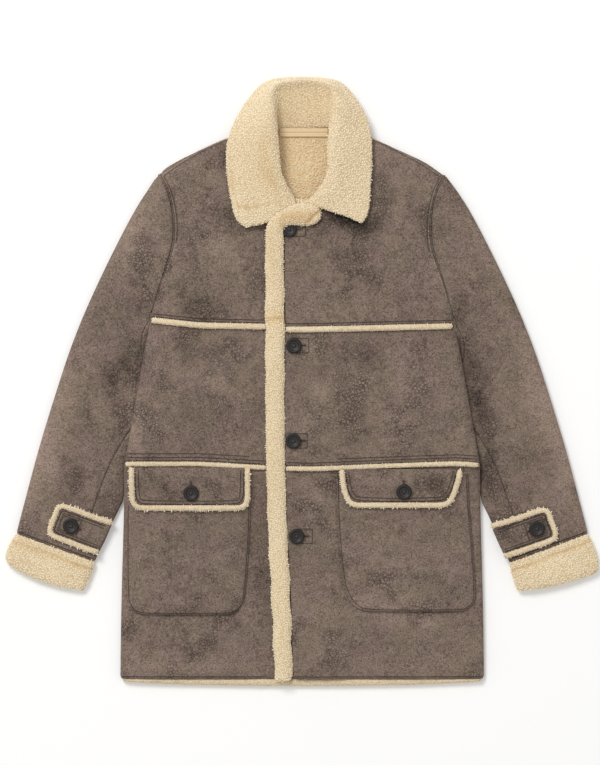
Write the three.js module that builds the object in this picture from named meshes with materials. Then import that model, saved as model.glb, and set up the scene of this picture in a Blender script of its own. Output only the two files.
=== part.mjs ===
// A man's car coat of bonded suede and curly pile, laid flat on its back, front up.
// Millimetres, +X to the right of someone looking down at it, +Y to the collar, +Z up.
// The table is z = 0 and the origin is in the middle of the coat. side is -1 for the
// left half and 1 for the right half, and across means the distance from x = 0.
import * as THREE from 'three';

// ---------- driving dimensions
const WALL = 6; // suede bonded to its pile
const SEAM_GAP = 0.3; // clearance between sewn pieces
const ARMHOLE_GAP = 0.9; // clearance between the body and a sleeve
const BESIDE_GAP = 4; // clearance between the body's side and the sleeve beside it
const LYING_GAP = 1.1; // clearance under what lies on a panel
const SEAM_Z = 7; // height of a side seam above the table
const FRONT_Z = 14; // outside of a front near its folds
const INSIDE_Z = 8; // inside of a front near its folds
const FOLD = 12; // how far in from a folded edge the cloth turns
const LOFT = 3; // how much a panel rises in its middle
const LOFT_REACH = 70; // distance from the fold at which it has risen
const UNDERLAP_EDGE = 25; // x of the hidden edge of the left front
const OVERLAP_RISE = 6.6; // lift of the right front where it crosses the left one
const OVERLAP_START = 40; // x where the right front begins to come down from it
const OVERLAP_END = 90; // x where it lies on the back again
const SLEEVE_RISE = 14.3; // lift of the body over the tucked part of a sleeve
const RISE_REACH = 80; // width of that slope
const HEM_Y = -475;
const NECK_Y = 285; // lowest point of the neckline
const SEAM_ACROSS = 265; // where the side height of a level seam is read
const NECK_POINT = [66, 408]; // across and y of the neck end of the shoulder
const HIP_ACROSS = 284; // where the waist seam meets the side
const BUTTON_RADIUS = 12.4;

// ---------- outlines of the cut pieces, across and y
// The shoulder is full in its middle, from the neck to the tip.
const SHOULDER = [
  NECK_POINT, [90, 401], [115, 390.5], [156, 371.5], [192, 354.5], [212, 342.5], [227, 330],
];
const ARMHOLE = [
  [227, 330], [213, 304], [206, 272], [204, 245], [206, 213], [215, 188], [225, 160],
  [234, 130],
];
const ARMPIT_Y = { '-1': 98, 1: 88 };
const ARMPIT_ACROSS = 243;
// Below the armpit.
const SIDE_SEAM = [
  { y: 60, across: 250 },
  { y: -30, across: 265.5 },
  { y: -132, across: 284 },
  { y: -222, across: 285.5 },
  { y: -300, across: 288 },
  { y: -370, across: 290 },
  { y: HEM_Y, across: 291 },
];
const SLEEVE_OUTER = [
  [227, 330], [241, 315], [265, 277], [305, 200], [341, 124], [372, 47], [397, -30],
  [421, -107], [441, -183], [457, -243],
];
// The tucked edge of the sleeve, below the armpit.
const SLEEVE_TUCKED = [
  [236, 2], [228, -25], [232, -55], [250, -88], [273, -112], [288, -140], [296, -180],
  [304, -222], [316, -255],
];
const SLEEVE_END = { '-1': [331, -288], 1: [331, -290] };
const CUFF = {
  '-1': {
    outer: [[457, -243.5], [470, -262], [476, -279], [471, -291]],
    free: [[471, -291], [439, -311], [394, -327], [349, -334]],
    inner: [[331, -288.5], [334, -302], [339, -315], [349, -334]],
  },
  1: {
    outer: [[457, -243.5], [466, -262], [476, -294], [471, -306]],
    free: [[471, -306], [436, -318], [399, -328], [345, -335]],
    inner: [[331, -290.5], [333, -303], [336, -317], [345, -335]],
  },
};
// The x of the free edge of the upper front, where the pile strip is sewn on.
const FRONT_EDGE = [
  { y: 290, x: -29.5, strip: 28 },
  { y: 242, x: -29.5, strip: 29 },
  { y: 87, x: -26.5, strip: 32 },
  { y: -30, x: -27.5, strip: 31 },
  { y: -126, x: -26.5, strip: 31 },
  { y: -222, x: -24, strip: 31 },
  { y: -286, x: -21.5, strip: 31 },
  { y: -350, x: -16.5, strip: 31 },
  { y: -480, x: -14.5, strip: 29 },
];
const CHEST_SEAM = [
  { x: -245, y: 98 }, { x: -163, y: 89 }, { x: -57, y: 87 }, { x: -20, y: 82 },
  { x: 78, y: 84 }, { x: 160, y: 86 }, { x: 245, y: 88 },
];
const WAIST_SEAM = [
  { x: -287, y: -132 }, { x: -163, y: -132 }, { x: -57, y: -138 }, { x: 12, y: -140 },
  { x: 162, y: -134 }, { x: 248, y: -131 }, { x: 287, y: -134 },
];

// ---------- materials
const makeSuede = () => new THREE.MeshStandardMaterial({
  color: 0x77675d, roughness: 0.85, metalness: 0,
});
const makePile = () => new THREE.MeshStandardMaterial({
  color: 0xe1cba4, roughness: 1, metalness: 0,
});
const makeTape = () => new THREE.MeshStandardMaterial({
  color: 0xd3b78c, roughness: 0.9, metalness: 0,
});
const makeHorn = () => new THREE.MeshStandardMaterial({
  color: 0x403733, roughness: 0.45, metalness: 0,
});

// ---------- small tools
const coat = new THREE.Group();

const clamp = (value) => Math.min(1, Math.max(0, value));

function ease(from, to, value) {
  const t = clamp((value - from) / (to - from));
  return t * t * (3 - 2 * t);
}

// The height of a turned edge, from 0 at the fold to 1 where the cloth lies flat.
function turn(distance) {
  const t = 1 - clamp(distance / FOLD);
  return Math.sqrt(1 - t * t);
}

// Reads a table by straight lines between its rows.
function read(table, key, value, column) {
  const rising = table[table.length - 1][key] > table[0][key];
  const rows = rising ? table : [...table].reverse();
  let i = 1;
  while (i < rows.length - 1 && rows[i][key] < value) i += 1;
  const [low, high] = [rows[i - 1], rows[i]];
  const t = (value - low[key]) / (high[key] - low[key]);
  return low[column] + (high[column] - low[column]) * t;
}

const flat = (x, y) => new THREE.Vector3(x, y, 0);

// A smooth edge through its corners, each [across, y], on one side of the coat.
function edgeOf(corners, side) {
  const points = corners.map(([across, y]) => flat(side * across, y));
  const curve = new THREE.CatmullRomCurve3(points, false, 'centripetal');
  return (t) => curve.getPointAt(clamp(t));
}

// An edge that runs through straight pieces one after the other.
function edgeThrough(points) {
  const path = new THREE.CurvePath();
  for (let i = 1; i < points.length; i += 1) {
    path.add(new THREE.LineCurve3(points[i - 1], points[i]));
  }
  return (t) => path.getPointAt(clamp(t));
}

// Two edges joined end to end, the first taking the given share of t.
function joined(first, second, share) {
  return (t) => (t <= share ? first(t / share) : second((t - share) / (1 - share)));
}

// A surface stretched between four edges: u runs along top and bottom, v down the sides.
function patch(top, bottom, left, right) {
  const corners = [top(0), top(1), bottom(0), bottom(1)];
  return (u, v) => {
    const point = top(u).multiplyScalar(1 - v).addScaledVector(bottom(u), v);
    point.addScaledVector(left(v), 1 - u).addScaledVector(right(v), u);
    point.addScaledVector(corners[0], -(1 - u) * (1 - v));
    point.addScaledVector(corners[1], -u * (1 - v));
    point.addScaledVector(corners[2], -(1 - u) * v);
    return point.addScaledVector(corners[3], -u * v);
  };
}

// The nearest point of a set of folded edges, and the way from it into the piece.
function nearestFold(folds, middle, point) {
  let best = { distance: Infinity };
  for (const fold of folds) {
    for (let i = 1; i < fold.length; i += 1) {
      const line = new THREE.Line3(fold[i - 1], fold[i]);
      const foot = line.closestPointToPoint(point, true, new THREE.Vector3());
      const distance = foot.distanceTo(point);
      if (distance < best.distance) best = { distance, foot, line };
    }
  }
  if (best.distance > 0.05) {
    best.inward = point.clone().sub(best.foot).divideScalar(best.distance);
  } else {
    const along = best.line.delta(new THREE.Vector3()).normalize();
    best.inward = flat(-along.y, along.x);
    if (best.inward.dot(middle.clone().sub(best.foot)) < 0) best.inward.negate();
  }
  // Beside a nearly upright fold the rows stay level.
  if (Math.abs(best.inward.x) > 0.9) best.inward.set(Math.sign(best.inward.x), 0, 0);
  return best;
}

const sampled = (edge, steps) => Array.from({ length: steps + 1 }, (_, i) => edge(i / steps));

// ---------- solids from points
function solid(points, faces) {
  const geometry = new THREE.BufferGeometry();
  const flatPoints = points.flatMap((p) => [p.x, p.y, p.z]);
  geometry.setAttribute('position', new THREE.Float32BufferAttribute(flatPoints, 3));
  let volume = 0;
  for (const [a, b, c] of faces) {
    volume += points[a].dot(points[b].clone().cross(points[c]));
  }
  const facing = volume > 0 ? faces : faces.map(([a, b, c]) => [a, c, b]);
  geometry.setIndex(facing.flat());
  geometry.computeVertexNormals();
  return geometry;
}

// A sheet with a wall: rows of points outside, the same rows inside, and a rim.
function sheet(outer, inner) {
  const rows = outer.length;
  const columns = outer[0].length;
  const half = rows * columns;
  const at = (r, c) => r * columns + c;
  const faces = [];
  const quad = (a, b, c, d) => faces.push([a, b, c], [a, c, d]);
  for (let r = 0; r < rows - 1; r += 1) {
    for (let c = 0; c < columns - 1; c += 1) {
      const [a, b, d, e] = [at(r, c), at(r + 1, c), at(r + 1, c + 1), at(r, c + 1)];
      quad(a, b, d, e);
      quad(half + a, half + e, half + d, half + b);
    }
  }
  const rim = [];
  for (let c = 0; c < columns - 1; c += 1) rim.push(at(0, c));
  for (let r = 0; r < rows - 1; r += 1) rim.push(at(r, columns - 1));
  for (let c = columns - 1; c > 0; c -= 1) rim.push(at(rows - 1, c));
  for (let r = rows - 1; r > 0; r -= 1) rim.push(at(r, 0));
  rim.forEach((a, i) => {
    const b = rim[(i + 1) % rim.length];
    quad(a, b, half + b, half + a);
  });
  return solid([...outer.flat(), ...inner.flat()], faces);
}

// A bar through rings of points. An endless bar meets its own start, others are capped.
function bar(rings, endless = false) {
  const size = rings[0].length;
  const points = rings.flat();
  const faces = [];
  const last = endless ? rings.length : rings.length - 1;
  for (let r = 0; r < last; r += 1) {
    const next = (r + 1) % rings.length;
    for (let i = 0; i < size; i += 1) {
      const j = (i + 1) % size;
      const [a, b] = [r * size + i, r * size + j];
      const [c, d] = [next * size + j, next * size + i];
      faces.push([a, b, c], [a, c, d]);
    }
  }
  if (endless) return solid(points, faces);
  for (const [ring, flip] of [[0, true], [rings.length - 1, false]]) {
    const centre = new THREE.Vector3();
    rings[ring].forEach((p) => centre.addScaledVector(p, 1 / size));
    points.push(centre);
    for (let i = 0; i < size; i += 1) {
      const [a, b] = [ring * size + i, ring * size + ((i + 1) % size)];
      faces.push(flip ? [points.length - 1, b, a] : [points.length - 1, a, b]);
    }
  }
  return solid(points, faces);
}

function addPiece(name, geometry, material) {
  const mesh = new THREE.Mesh(geometry, material);
  mesh.name = name;
  coat.add(mesh);
}

// ---------- how the body lies
const sideRows = (side) => [{ y: ARMPIT_Y[side], across: ARMPIT_ACROSS }, ...SIDE_SEAM];
const sideAcross = (side, y) => read(sideRows(side), 'y', y, 'across');
const chestY = (x) => read(CHEST_SEAM, 'x', x, 'y');
const waistY = (x) => read(WAIST_SEAM, 'x', x, 'y');
const frontEdgeX = (y) => read(FRONT_EDGE, 'y', y, 'x');

// The visible part of the sleeve's inner edge starts beside the body, then goes under it.
function sleeveInnerCorners(side) {
  const top = ARMPIT_Y[side];
  const beside = [7, 18, 36, 54].map((drop) => [
    sideAcross(side, top - drop) + BESIDE_GAP * ease(0, 12, drop), top - drop,
  ]);
  return [[ARMPIT_ACROSS, top], ...beside, ...SLEEVE_TUCKED, SLEEVE_END[side]];
}

const SHOULDER_STEPS = 16;
const sleeveInner = {};
const bodyFolds = {};
const sleeveFolds = {};
const innerRows = {};
for (const side of [-1, 1]) {
  sleeveInner[side] = edgeOf(sleeveInnerCorners(side), side);
  const inner = sampled(sleeveInner[side], 40);
  innerRows[side] = inner.map((p) => ({ y: p.y, across: side * p.x }));
  const shoulder = sampled(edgeOf(SHOULDER, side), SHOULDER_STEPS);
  bodyFolds[side] = [shoulder, sideRows(side).map((row) => flat(side * row.across, row.y))];
  sleeveFolds[side] = [sampled(edgeOf(SLEEVE_OUTER, side), 30), inner];
}
const bodyMiddle = flat(0, 0);
const sleeveMiddle = (side) => flat(side * 300, 20);

// The body is lifted where it lies over the tucked part of a sleeve.
function rise(side, x, y) {
  const top = ARMPIT_Y[side];
  const down = ease(top, top - 50, y) * (1 - ease(-122, -205, y));
  if (down === 0) return 0;
  const across = side * x;
  const start = read(innerRows[side], 'y', y, 'across') - FOLD;
  const reach = Math.min(start, sideAcross(side, y)) - across;
  return SLEEVE_RISE * down * (1 - ease(0, RISE_REACH, reach));
}

// How far the right front is lifted by the left one under it.
const overlap = (x) => OVERLAP_RISE * (1 - ease(OVERLAP_START, OVERLAP_END, x));

function loft(side, x, distance) {
  const fullness = LOFT * ease(FOLD, LOFT_REACH, distance);
  return fullness * (side < 0 ? ease(-62, -110, x) : ease(60, 120, x));
}

// Outside and inside heights of a front, and of the back.
function frontZ(side, point) {
  const { distance } = nearestFold(bodyFolds[side], bodyMiddle, flat(point.x, point.y));
  const lift = side > 0 ? overlap(point.x) : 0;
  const top = FRONT_Z - SEAM_Z + loft(side, point.x, distance) + lift;
  return SEAM_Z + SEAM_GAP + rise(side, point.x, point.y) + top * turn(distance);
}

function frontInsideZ(side, point, distance) {
  const lift = side > 0 ? overlap(point.x) : 0;
  const top = INSIDE_Z - SEAM_Z + 0.3 * loft(side, point.x, distance) + lift;
  return SEAM_Z + SEAM_GAP + rise(side, point.x, point.y) + top * turn(distance);
}

function backZ(side, point, distance) {
  return rise(side, point.x, point.y) + SEAM_Z * (1 - turn(distance));
}

function backInsideZ(side, point, distance) {
  return rise(side, point.x, point.y) + SEAM_Z - (SEAM_Z - WALL) * turn(distance);
}

// The inside of a folded edge lies a wall's thickness in from the outside.
function insidePoint(point, fold) {
  const inset = WALL * clamp(1 - fold.distance / (2 * FOLD));
  return point.clone().addScaledVector(fold.inward, inset);
}

// The way into a sleeve from a point on it, along its row. It is nothing at a plain seam,
// where both walls end upright.
function alongRow(place, u, v, isSeam) {
  if (isSeam) return flat(0, 0);
  const step = u < 0.5 ? 0.01 : -0.01;
  return place(u + step, v).sub(place(u, v)).normalize();
}

// One wall of cloth over a grid of places, with its outside and inside heights.
function panel(name, place, rows, columns, folds, middle, outsideZ, insideZ, wayIn) {
  const outer = [];
  const inner = [];
  for (const v of rows) {
    const points = columns.map((u) => place(u, v));
    const near = points.map((point) => nearestFold(folds, middle, point));
    if (wayIn) near.forEach((fold, i) => fold.inward.copy(wayIn(columns[i], v)));
    const inside = points.map((point, i) => insidePoint(point, near[i]));
    points.forEach((point, i) => point.setZ(outsideZ(point, near[i].distance)));
    inside.forEach((point, i) => point.setZ(insideZ(point, near[i].distance)));
    outer.push(points);
    inner.push(inside);
  }
  addPiece(name, sheet(outer, inner), makeSuede());
}

// Shares of the armhole's length where the body's rows and the sleeve's columns meet.
const ARMHOLE_STEPS = [
  0, 0.005, 0.018, 0.05, 0.16, 0.3, 0.44, 0.58, 0.71, 0.84, 0.94, 0.985, 1,
];
// Shares of a front's width, from its free edge to the side fold.
const FRONT_COLUMNS = [
  0, 0.1, 0.2, 0.25, 0.295, 0.34, 0.385, 0.47, 0.55, 0.62, 0.69, 0.76, 0.83, 0.9, 0.956, 0.981, 0.995, 1,
];
const UPPER_COLUMNS = [0, 0.1, 0.21, 0.28, 0.37, 0.55, 0.75, 0.9, 0.956, 0.985, 1];
const MIDDLE_ROWS = [0, 0.04, 0.08, 0.12, 0.16, 0.2, 0.24, 0.34, 0.5, 0.68, 0.85, 1];
const LOWER_ROWS = [0, 0.04, 0.08, 0.125, 0.17, 0.22, 0.35, 0.55, 0.78, 1];

// The armhole ends at the armpit, which is lower on the right.
const armhole = (side) => edgeOf([...ARMHOLE, [ARMPIT_ACROSS, ARMPIT_Y[side]]], side);
const freeX = (side, y) => (side < 0 ? UNDERLAP_EDGE : frontEdgeX(y));

// An edge of a front across the coat, from its free edge to the side fold.
function acrossEdge(side, heightAt, drop) {
  const start = freeX(side, heightAt(0));
  const end = side * sideAcross(side, heightAt(side * SEAM_ACROSS));
  return (u) => {
    const x = start + (end - start) * u;
    return flat(x, heightAt(x) - drop);
  };
}

function downEdge(side, fromY, toY, xAt) {
  return (v) => {
    const y = fromY + (toY - fromY) * v;
    return flat(xAt(y), y);
  };
}

// The neckline curves from the front edge to the neck end of the shoulder.
function neckline(side) {
  const [across, top] = NECK_POINT;
  const depth = top - NECK_Y;
  const start = Math.asin((freeX(side, NECK_Y) / across) * side);
  return (t) => {
    const angle = start + (Math.PI / 2 - start) * t;
    return flat(side * across * Math.sin(angle), top - depth * Math.cos(angle));
  };
}

function makeFront(side) {
  const hand = side < 0 ? 'left' : 'right';
  const folds = bodyFolds[side];
  const outside = (point) => frontZ(side, point);
  const inside = (point, distance) => frontInsideZ(side, point, distance);
  const shoulder = edgeOf(SHOULDER, side);
  const top = joined(neckline(side), shoulder, 0.4);
  const free = (y) => freeX(side, y);
  const fold = (y) => side * sideAcross(side, y);
  const chest = acrossEdge(side, chestY, 0);
  const upper = patch(top, chest, (v) => top(0).lerp(chest(0), v), armhole(side));
  panel(`front_${hand}_upper`, upper, ARMHOLE_STEPS, UPPER_COLUMNS, folds, bodyMiddle,
    outside, inside);
  const chestStart = acrossEdge(side, chestY, SEAM_GAP);
  const waist = acrossEdge(side, waistY, 0);
  const middle = patch(chestStart, waist,
    downEdge(side, chestStart(0).y, waist(0).y, free),
    downEdge(side, chestStart(1).y, waist(1).y, fold));
  panel(`front_${hand}_middle`, middle, MIDDLE_ROWS, FRONT_COLUMNS, folds, bodyMiddle,
    outside, inside);
  const waistStart = acrossEdge(side, waistY, SEAM_GAP);
  const hem = acrossEdge(side, () => HEM_Y, 0);
  const lower = patch(waistStart, hem,
    downEdge(side, waistStart(0).y, HEM_Y, free),
    downEdge(side, waistStart(1).y, HEM_Y, fold));
  panel(`front_${hand}_lower`, lower, LOWER_ROWS, FRONT_COLUMNS, folds, bodyMiddle,
    outside, inside);
}

makeFront(-1);
makeFront(1);

// ---------- back
const BACK_COLUMNS = [0, 0.003, 0.01, 0.022, 0.06, 0.12, 0.18, 0.24, 0.32];
// Shares of the back's height at which the armhole and the middle end.
const BACK_SHARES = [0.3, 0.58];

function makeBack() {
  const [across, neckY] = NECK_POINT;
  const neckCurve = (t) => flat(-across * Math.cos(Math.PI * t), neckY - 6 * Math.sin(Math.PI * t));
  const leftShoulder = edgeOf([...SHOULDER].reverse(), -1);
  const rightShoulder = edgeOf(SHOULDER, 1);
  const top = joined(leftShoulder, joined(neckCurve, rightShoulder, 0.47), 0.33);
  const hem = (u) => flat((u * 2 - 1) * sideAcross(1, HEM_Y), HEM_Y);
  const [first, second] = BACK_SHARES;
  const sideEdge = (side) => {
    const fold = (y) => side * sideAcross(side, y);
    const waist = waistY(side * HIP_ACROSS);
    const middle = downEdge(side, ARMPIT_Y[side], waist, fold);
    const lower = downEdge(side, waist, HEM_Y, fold);
    return joined(armhole(side), joined(middle, lower, (second - first) / (1 - first)), first);
  };
  const place = patch(top, hem, sideEdge(-1), sideEdge(1));
  const rows = [
    ...ARMHOLE_STEPS.map((t) => t * first),
    ...MIDDLE_ROWS.slice(1).map((t) => first + (second - first) * t),
    ...LOWER_ROWS.slice(1).map((t) => second + (1 - second) * t),
  ];
  const columns = [
    ...BACK_COLUMNS, 0.5, ...BACK_COLUMNS.map((u) => 1 - u).reverse(),
  ];
  const folds = [...bodyFolds[-1], ...bodyFolds[1]];
  const sideOf = (point) => (point.x < 0 ? -1 : 1);
  panel('back', place, rows, columns, folds, bodyMiddle,
    (point, distance) => backZ(sideOf(point), point, distance),
    (point, distance) => backInsideZ(sideOf(point), point, distance));
}

// ---------- sleeves
// Shares of a sleeve's length, from the armhole to the cuff.
const SLEEVE_ROWS = [0, 0.07, 0.15, 0.23, 0.31, 0.38, 0.43, 0.48, 0.53, 0.6, 0.68, 0.78, 0.89, 1];
const FOREARM_SEAM = [
  { v: 0, u: 0.94 }, { v: 0.3, u: 0.9 }, { v: 0.65, u: 0.84 }, { v: 0.85, u: 0.79 },
  { v: 1, u: 0.72 },
];
const SEAM_STEP = 10; // the armhole step at which the forearm seam starts
const SLEEVE_ACROSS = 150; // about how wide a sleeve is, to turn a gap into a share of it

// The rows of a sleeve turn about the armpit before they go down the arm, so they fan
// out from it along the outer edge.
const FAN_END = 0.36;
const FAN_SHARE = 0.06;

function innerShare(v) {
  if (v < FAN_END) return (FAN_SHARE * v) / FAN_END;
  return FAN_SHARE + ((1 - FAN_SHARE) * (v - FAN_END)) / (1 - FAN_END);
}

function sleevePlace(side) {
  const outer = edgeOf(SLEEVE_OUTER, side);
  const inner = sleeveInner[side];
  const cap = armhole(side);
  const [tip, pit] = [cap(0), cap(1)];
  return (u, v) => {
    const point = outer(v).lerp(inner(innerShare(v)), u);
    const bulge = cap(u).sub(tip.clone().lerp(pit, u));
    point.addScaledVector(bulge, (1 - v) ** 2);
    return point.add(flat(side * ARMHOLE_GAP * (1 - v), 0));
  };
}

// A sleeve rises in its middle, but stays low where the body lies on it.
function sleeveLoft(side, point, distance) {
  const outside = side * point.x - sideAcross(side, Math.min(point.y, ARMPIT_Y[side]));
  const open = Math.max(ease(85, 140, point.y), ease(4, 45, outside));
  return LOFT * open * ease(FOLD, LOFT_REACH - 15, distance);
}

function sleeveZ(side, point, distance) {
  const top = FRONT_Z - 0.3 - SEAM_Z + sleeveLoft(side, point, distance);
  return SEAM_Z + SEAM_GAP + (top - SEAM_GAP) * turn(distance);
}

function sleeveInsideZ(side, point, distance) {
  const top = INSIDE_Z - SEAM_Z + 0.3 * sleeveLoft(side, point, distance);
  return SEAM_Z + SEAM_GAP + top * turn(distance);
}

function makeSleeve(side) {
  const hand = side < 0 ? 'left' : 'right';
  const place = sleevePlace(side);
  const folds = sleeveFolds[side];
  const middle = sleeveMiddle(side);
  const lastTop = ARMHOLE_STEPS[SEAM_STEP];
  const seamAt = (v) => read(FOREARM_SEAM, 'v', v, 'u');
  const topPlace = (share, v) => place(share * seamAt(v), v);
  const shares = ARMHOLE_STEPS.slice(0, SEAM_STEP + 1).map((step) => step / lastTop);
  panel(`sleeve_${hand}_top`, topPlace, SLEEVE_ROWS, shares, folds, middle,
    (point, distance) => sleeveZ(side, point, distance),
    (point, distance) => sleeveInsideZ(side, point, distance),
    (share, v) => alongRow(place, share * seamAt(v), v, share > 0.5));
  const outer = [];
  const inner = [];
  for (const v of SLEEVE_ROWS) {
    const seam = seamAt(v);
    const gap = SEAM_GAP / SLEEVE_ACROSS;
    const upper = ARMHOLE_STEPS.slice(SEAM_STEP, -1).map((step) => {
      const share = (step - lastTop) / (1 - lastTop);
      return { u: seam + gap * (1 - share) + (1 - seam) * share, above: true };
    });
    const below = [...ARMHOLE_STEPS].reverse().map((u) => ({ u, above: false }));
    const outerRow = [];
    const innerRow = [];
    for (const [i, { u, above }] of [...upper, ...below].entries()) {
      const point = place(u, v);
      const fold = nearestFold(folds, middle, point);
      fold.inward.copy(alongRow(place, u, v, i === 0));
      const inside = insidePoint(point, fold);
      const lower = SEAM_Z * (1 - turn(fold.distance));
      const lowerInside = SEAM_Z - (SEAM_Z - WALL) * turn(fold.distance);
      outerRow.push(point.setZ(above ? sleeveZ(side, point, fold.distance) : lower));
      innerRow.push(inside.setZ(above
        ? sleeveInsideZ(side, inside, fold.distance)
        : lowerInside));
    }
    outer.push(outerRow);
    inner.push(innerRow);
  }
  addPiece(`sleeve_${hand}_under`, sheet(outer, inner), makeSuede());
}

makeBack();
makeSleeve(-1);
makeSleeve(1);

// ---------- bars of pile
// A bar's round section: how far across, from -1 to 1, and how high, from 0 to 1.
const ROUND_SECTION = [
  [-0.8, 0], [-1, 0.3], [-0.85, 0.7], [-0.4, 1], [0.4, 1], [0.85, 0.7], [1, 0.3], [0.8, 0],
];

// A plainer one for the narrow beads and edges.
const THIN_SECTION = [[-0.85, 0], [-1, 0.45], [-0.5, 1], [0.5, 1], [1, 0.45], [0.85, 0]];

// A soft bar along a path of { x, y, width, height, base } rows, base being what it lies on.
function pileBar(path, section = ROUND_SECTION) {
  const rings = path.map((row, i) => {
    const before = path[Math.max(0, i - 1)];
    const after = path[Math.min(path.length - 1, i + 1)];
    const along = flat(after.x - before.x, after.y - before.y).normalize();
    const across = flat(along.y, -along.x);
    return section.map(([share, up]) => {
      const point = flat(row.x, row.y).addScaledVector(across, (share * row.width) / 2);
      const base = typeof row.base === 'function' ? row.base(point) : row.base;
      return point.setZ(base + up * row.height);
    });
  });
  return bar(rings);
}

// ---------- pile strip down the front, with its top turned in under the collar
const STRIP_HEIGHT = 10.5;
const STRIP_GAP = 0.5; // clearance beside the edge it is sewn to
const ROUND_END = 20; // width below which its end comes down
const STRIP_BASE = FRONT_Z + 0.8;
const STRIP_TOP_BASE = FRONT_Z + OVERLAP_RISE + 0.8;
const STRIP_TURN = [
  { x: -43.5, y: 247, width: 29 },
  { x: -38, y: 257, width: 29 },
  { x: -28, y: 264, width: 29 },
  { x: -14, y: 267, width: 30 },
  { x: 3, y: 267.5, width: 31 },
  { x: 14, y: 267.5, width: 30 },
  { x: 22, y: 267.5, width: 24 },
  { x: 27, y: 267.5, width: 13 },
];

function makeStrip() {
  const path = [];
  for (const y of [-478, -400, -320, -240, -160, -80, 0, 80, 160, 205, 228]) {
    const width = read(FRONT_EDGE, 'y', y, 'strip');
    const base = STRIP_BASE + (STRIP_TOP_BASE - STRIP_BASE) * ease(195, 240, y);
    const x = frontEdgeX(y) - STRIP_GAP - width / 2;
    path.push({ x, y, width, height: STRIP_HEIGHT, base });
  }
  for (const row of STRIP_TURN) {
    const height = STRIP_HEIGHT * (row.width < ROUND_END ? 0.6 : 1);
    path.push({ ...row, height, base: STRIP_TOP_BASE });
  }
  addPiece('front_strip', pileBar(path), makePile());
}

// ---------- beads of pile in the two level seams
const BEAD_COLUMNS = [0.012, 0.019, 0.044, 0.1, 0.17, 0.24, 0.31, 0.38, 0.45, 0.53, 0.63, 0.72,
  0.79, 0.9, 1];

const BEAD_LIFT = 0.7;
const BEAD_END = -60.5; // x where the left beads meet the strip

function makeBead(name, side, seamAt, width, height) {
  const end = side < 0 ? BEAD_END : frontEdgeX(seamAt(0)) + 1;
  const start = side * sideAcross(side, seamAt(side * SEAM_ACROSS));
  const path = BEAD_COLUMNS.map((share) => {
    const x = start + (end - start) * share;
    const base = (point) => frontZ(side, point) + BEAD_LIFT;
    const taper = share === BEAD_COLUMNS[0] ? 0.7 : 1;
    return { x, y: seamAt(x), width: width * taper, height: height * taper, base };
  });
  addPiece(name, pileBar(path, THIN_SECTION), makePile());
}

// ---------- pile that shows below the hem
const HEM_PILE_DEPTH = 12;
const HEM_PILE_HEIGHT = 12.4;
const HEM_PILE_HALF = 286; // across, from the middle to either end
const HEM_PILE_STEPS = 12;
const HEM_PILE_GAP = 0.4;
const HEM_SECTION = [[0, 0], [0, 1], [0.6, 0.96], [0.93, 0.7], [1, 0.42], [0.9, 0.12], [0.65, 0]];

function makeHemPile() {
  const rings = [];
  for (let i = 0; i <= HEM_PILE_STEPS; i += 1) {
    const share = i / HEM_PILE_STEPS;
    const x = HEM_PILE_HALF * (2 * share - 1);
    const depth = HEM_PILE_DEPTH * (0.35 + 0.65 * Math.sin(Math.PI * share) ** 0.6);
    rings.push(HEM_SECTION.map(([out, up]) => (
      new THREE.Vector3(x, HEM_Y - HEM_PILE_GAP - depth * out, HEM_PILE_HEIGHT * up)
    )));
  }
  addPiece('hem_pile', bar(rings), makePile());
}

// ---------- pockets and flaps
const POCKET_WALL = 5;
const FLAP_LIFT = 7.2; // outside of the front to underside of the flap
const FLAP_WALL = 3;
const EDGE_WIDTH = 9;
const EDGE_HEIGHT = 6;
const POCKETS = {
  '-1': {
    top: -141, bottom: -372, corner: 28,
    left: [{ y: -141, x: -279 }, { y: -372, x: -280 }],
    right: [{ y: -141, x: -83 }, { y: -250, x: -83.5 }, { y: -372, x: -95 }],
  },
  1: {
    top: -144, bottom: -367, corner: 28,
    left: [{ y: -144, x: 55 }, { y: -240, x: 57 }, { y: -320, x: 66 }, { y: -367, x: 76 }],
    right: [{ y: -144, x: 263 }, { y: -222, x: 267.5 }, { y: -330, x: 277 }, { y: -367, x: 277 }],
  },
};
const FLAPS = {
  '-1': {
    top: -142, bottom: -197, corner: 10,
    left: [{ y: -142, x: -267 }, { y: -197, x: -266 }],
    right: [{ y: -142, x: -92 }, { y: -197, x: -92 }],
  },
  1: {
    top: -145, bottom: -192.5, corner: 9,
    left: [{ y: -145, x: 68 }, { y: -170, x: 71 }, { y: -192.5, x: 79 }],
    right: [{ y: -145, x: 247 }, { y: -170, x: 240 }, { y: -192.5, x: 231 }],
  },
};

// Places on a piece cut with round lower corners.
function roundedPlace({ top, bottom, corner, left, right }) {
  return (u, v) => {
    const y = top + (bottom - top) * v;
    const into = Math.max(0, (corner - (y - bottom)) / corner);
    const inset = corner * (1 - Math.sqrt(1 - Math.min(1, into) ** 2));
    const from = read(left, 'y', y, 'x') + inset;
    const to = read(right, 'y', y, 'x') - inset;
    return flat(from + (to - from) * u, y);
  };
}

// Rows down such a piece: even ones, then closer round the corners.
function roundedRows({ top, bottom, corner }, even) {
  const height = top - bottom;
  const straight = 1 - corner / height;
  const rows = even.map((share) => share * straight);
  return [...rows, ...[0.45, 0.75, 0.93, 1].map((t) => straight + (1 - straight) * t)];
}

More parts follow.
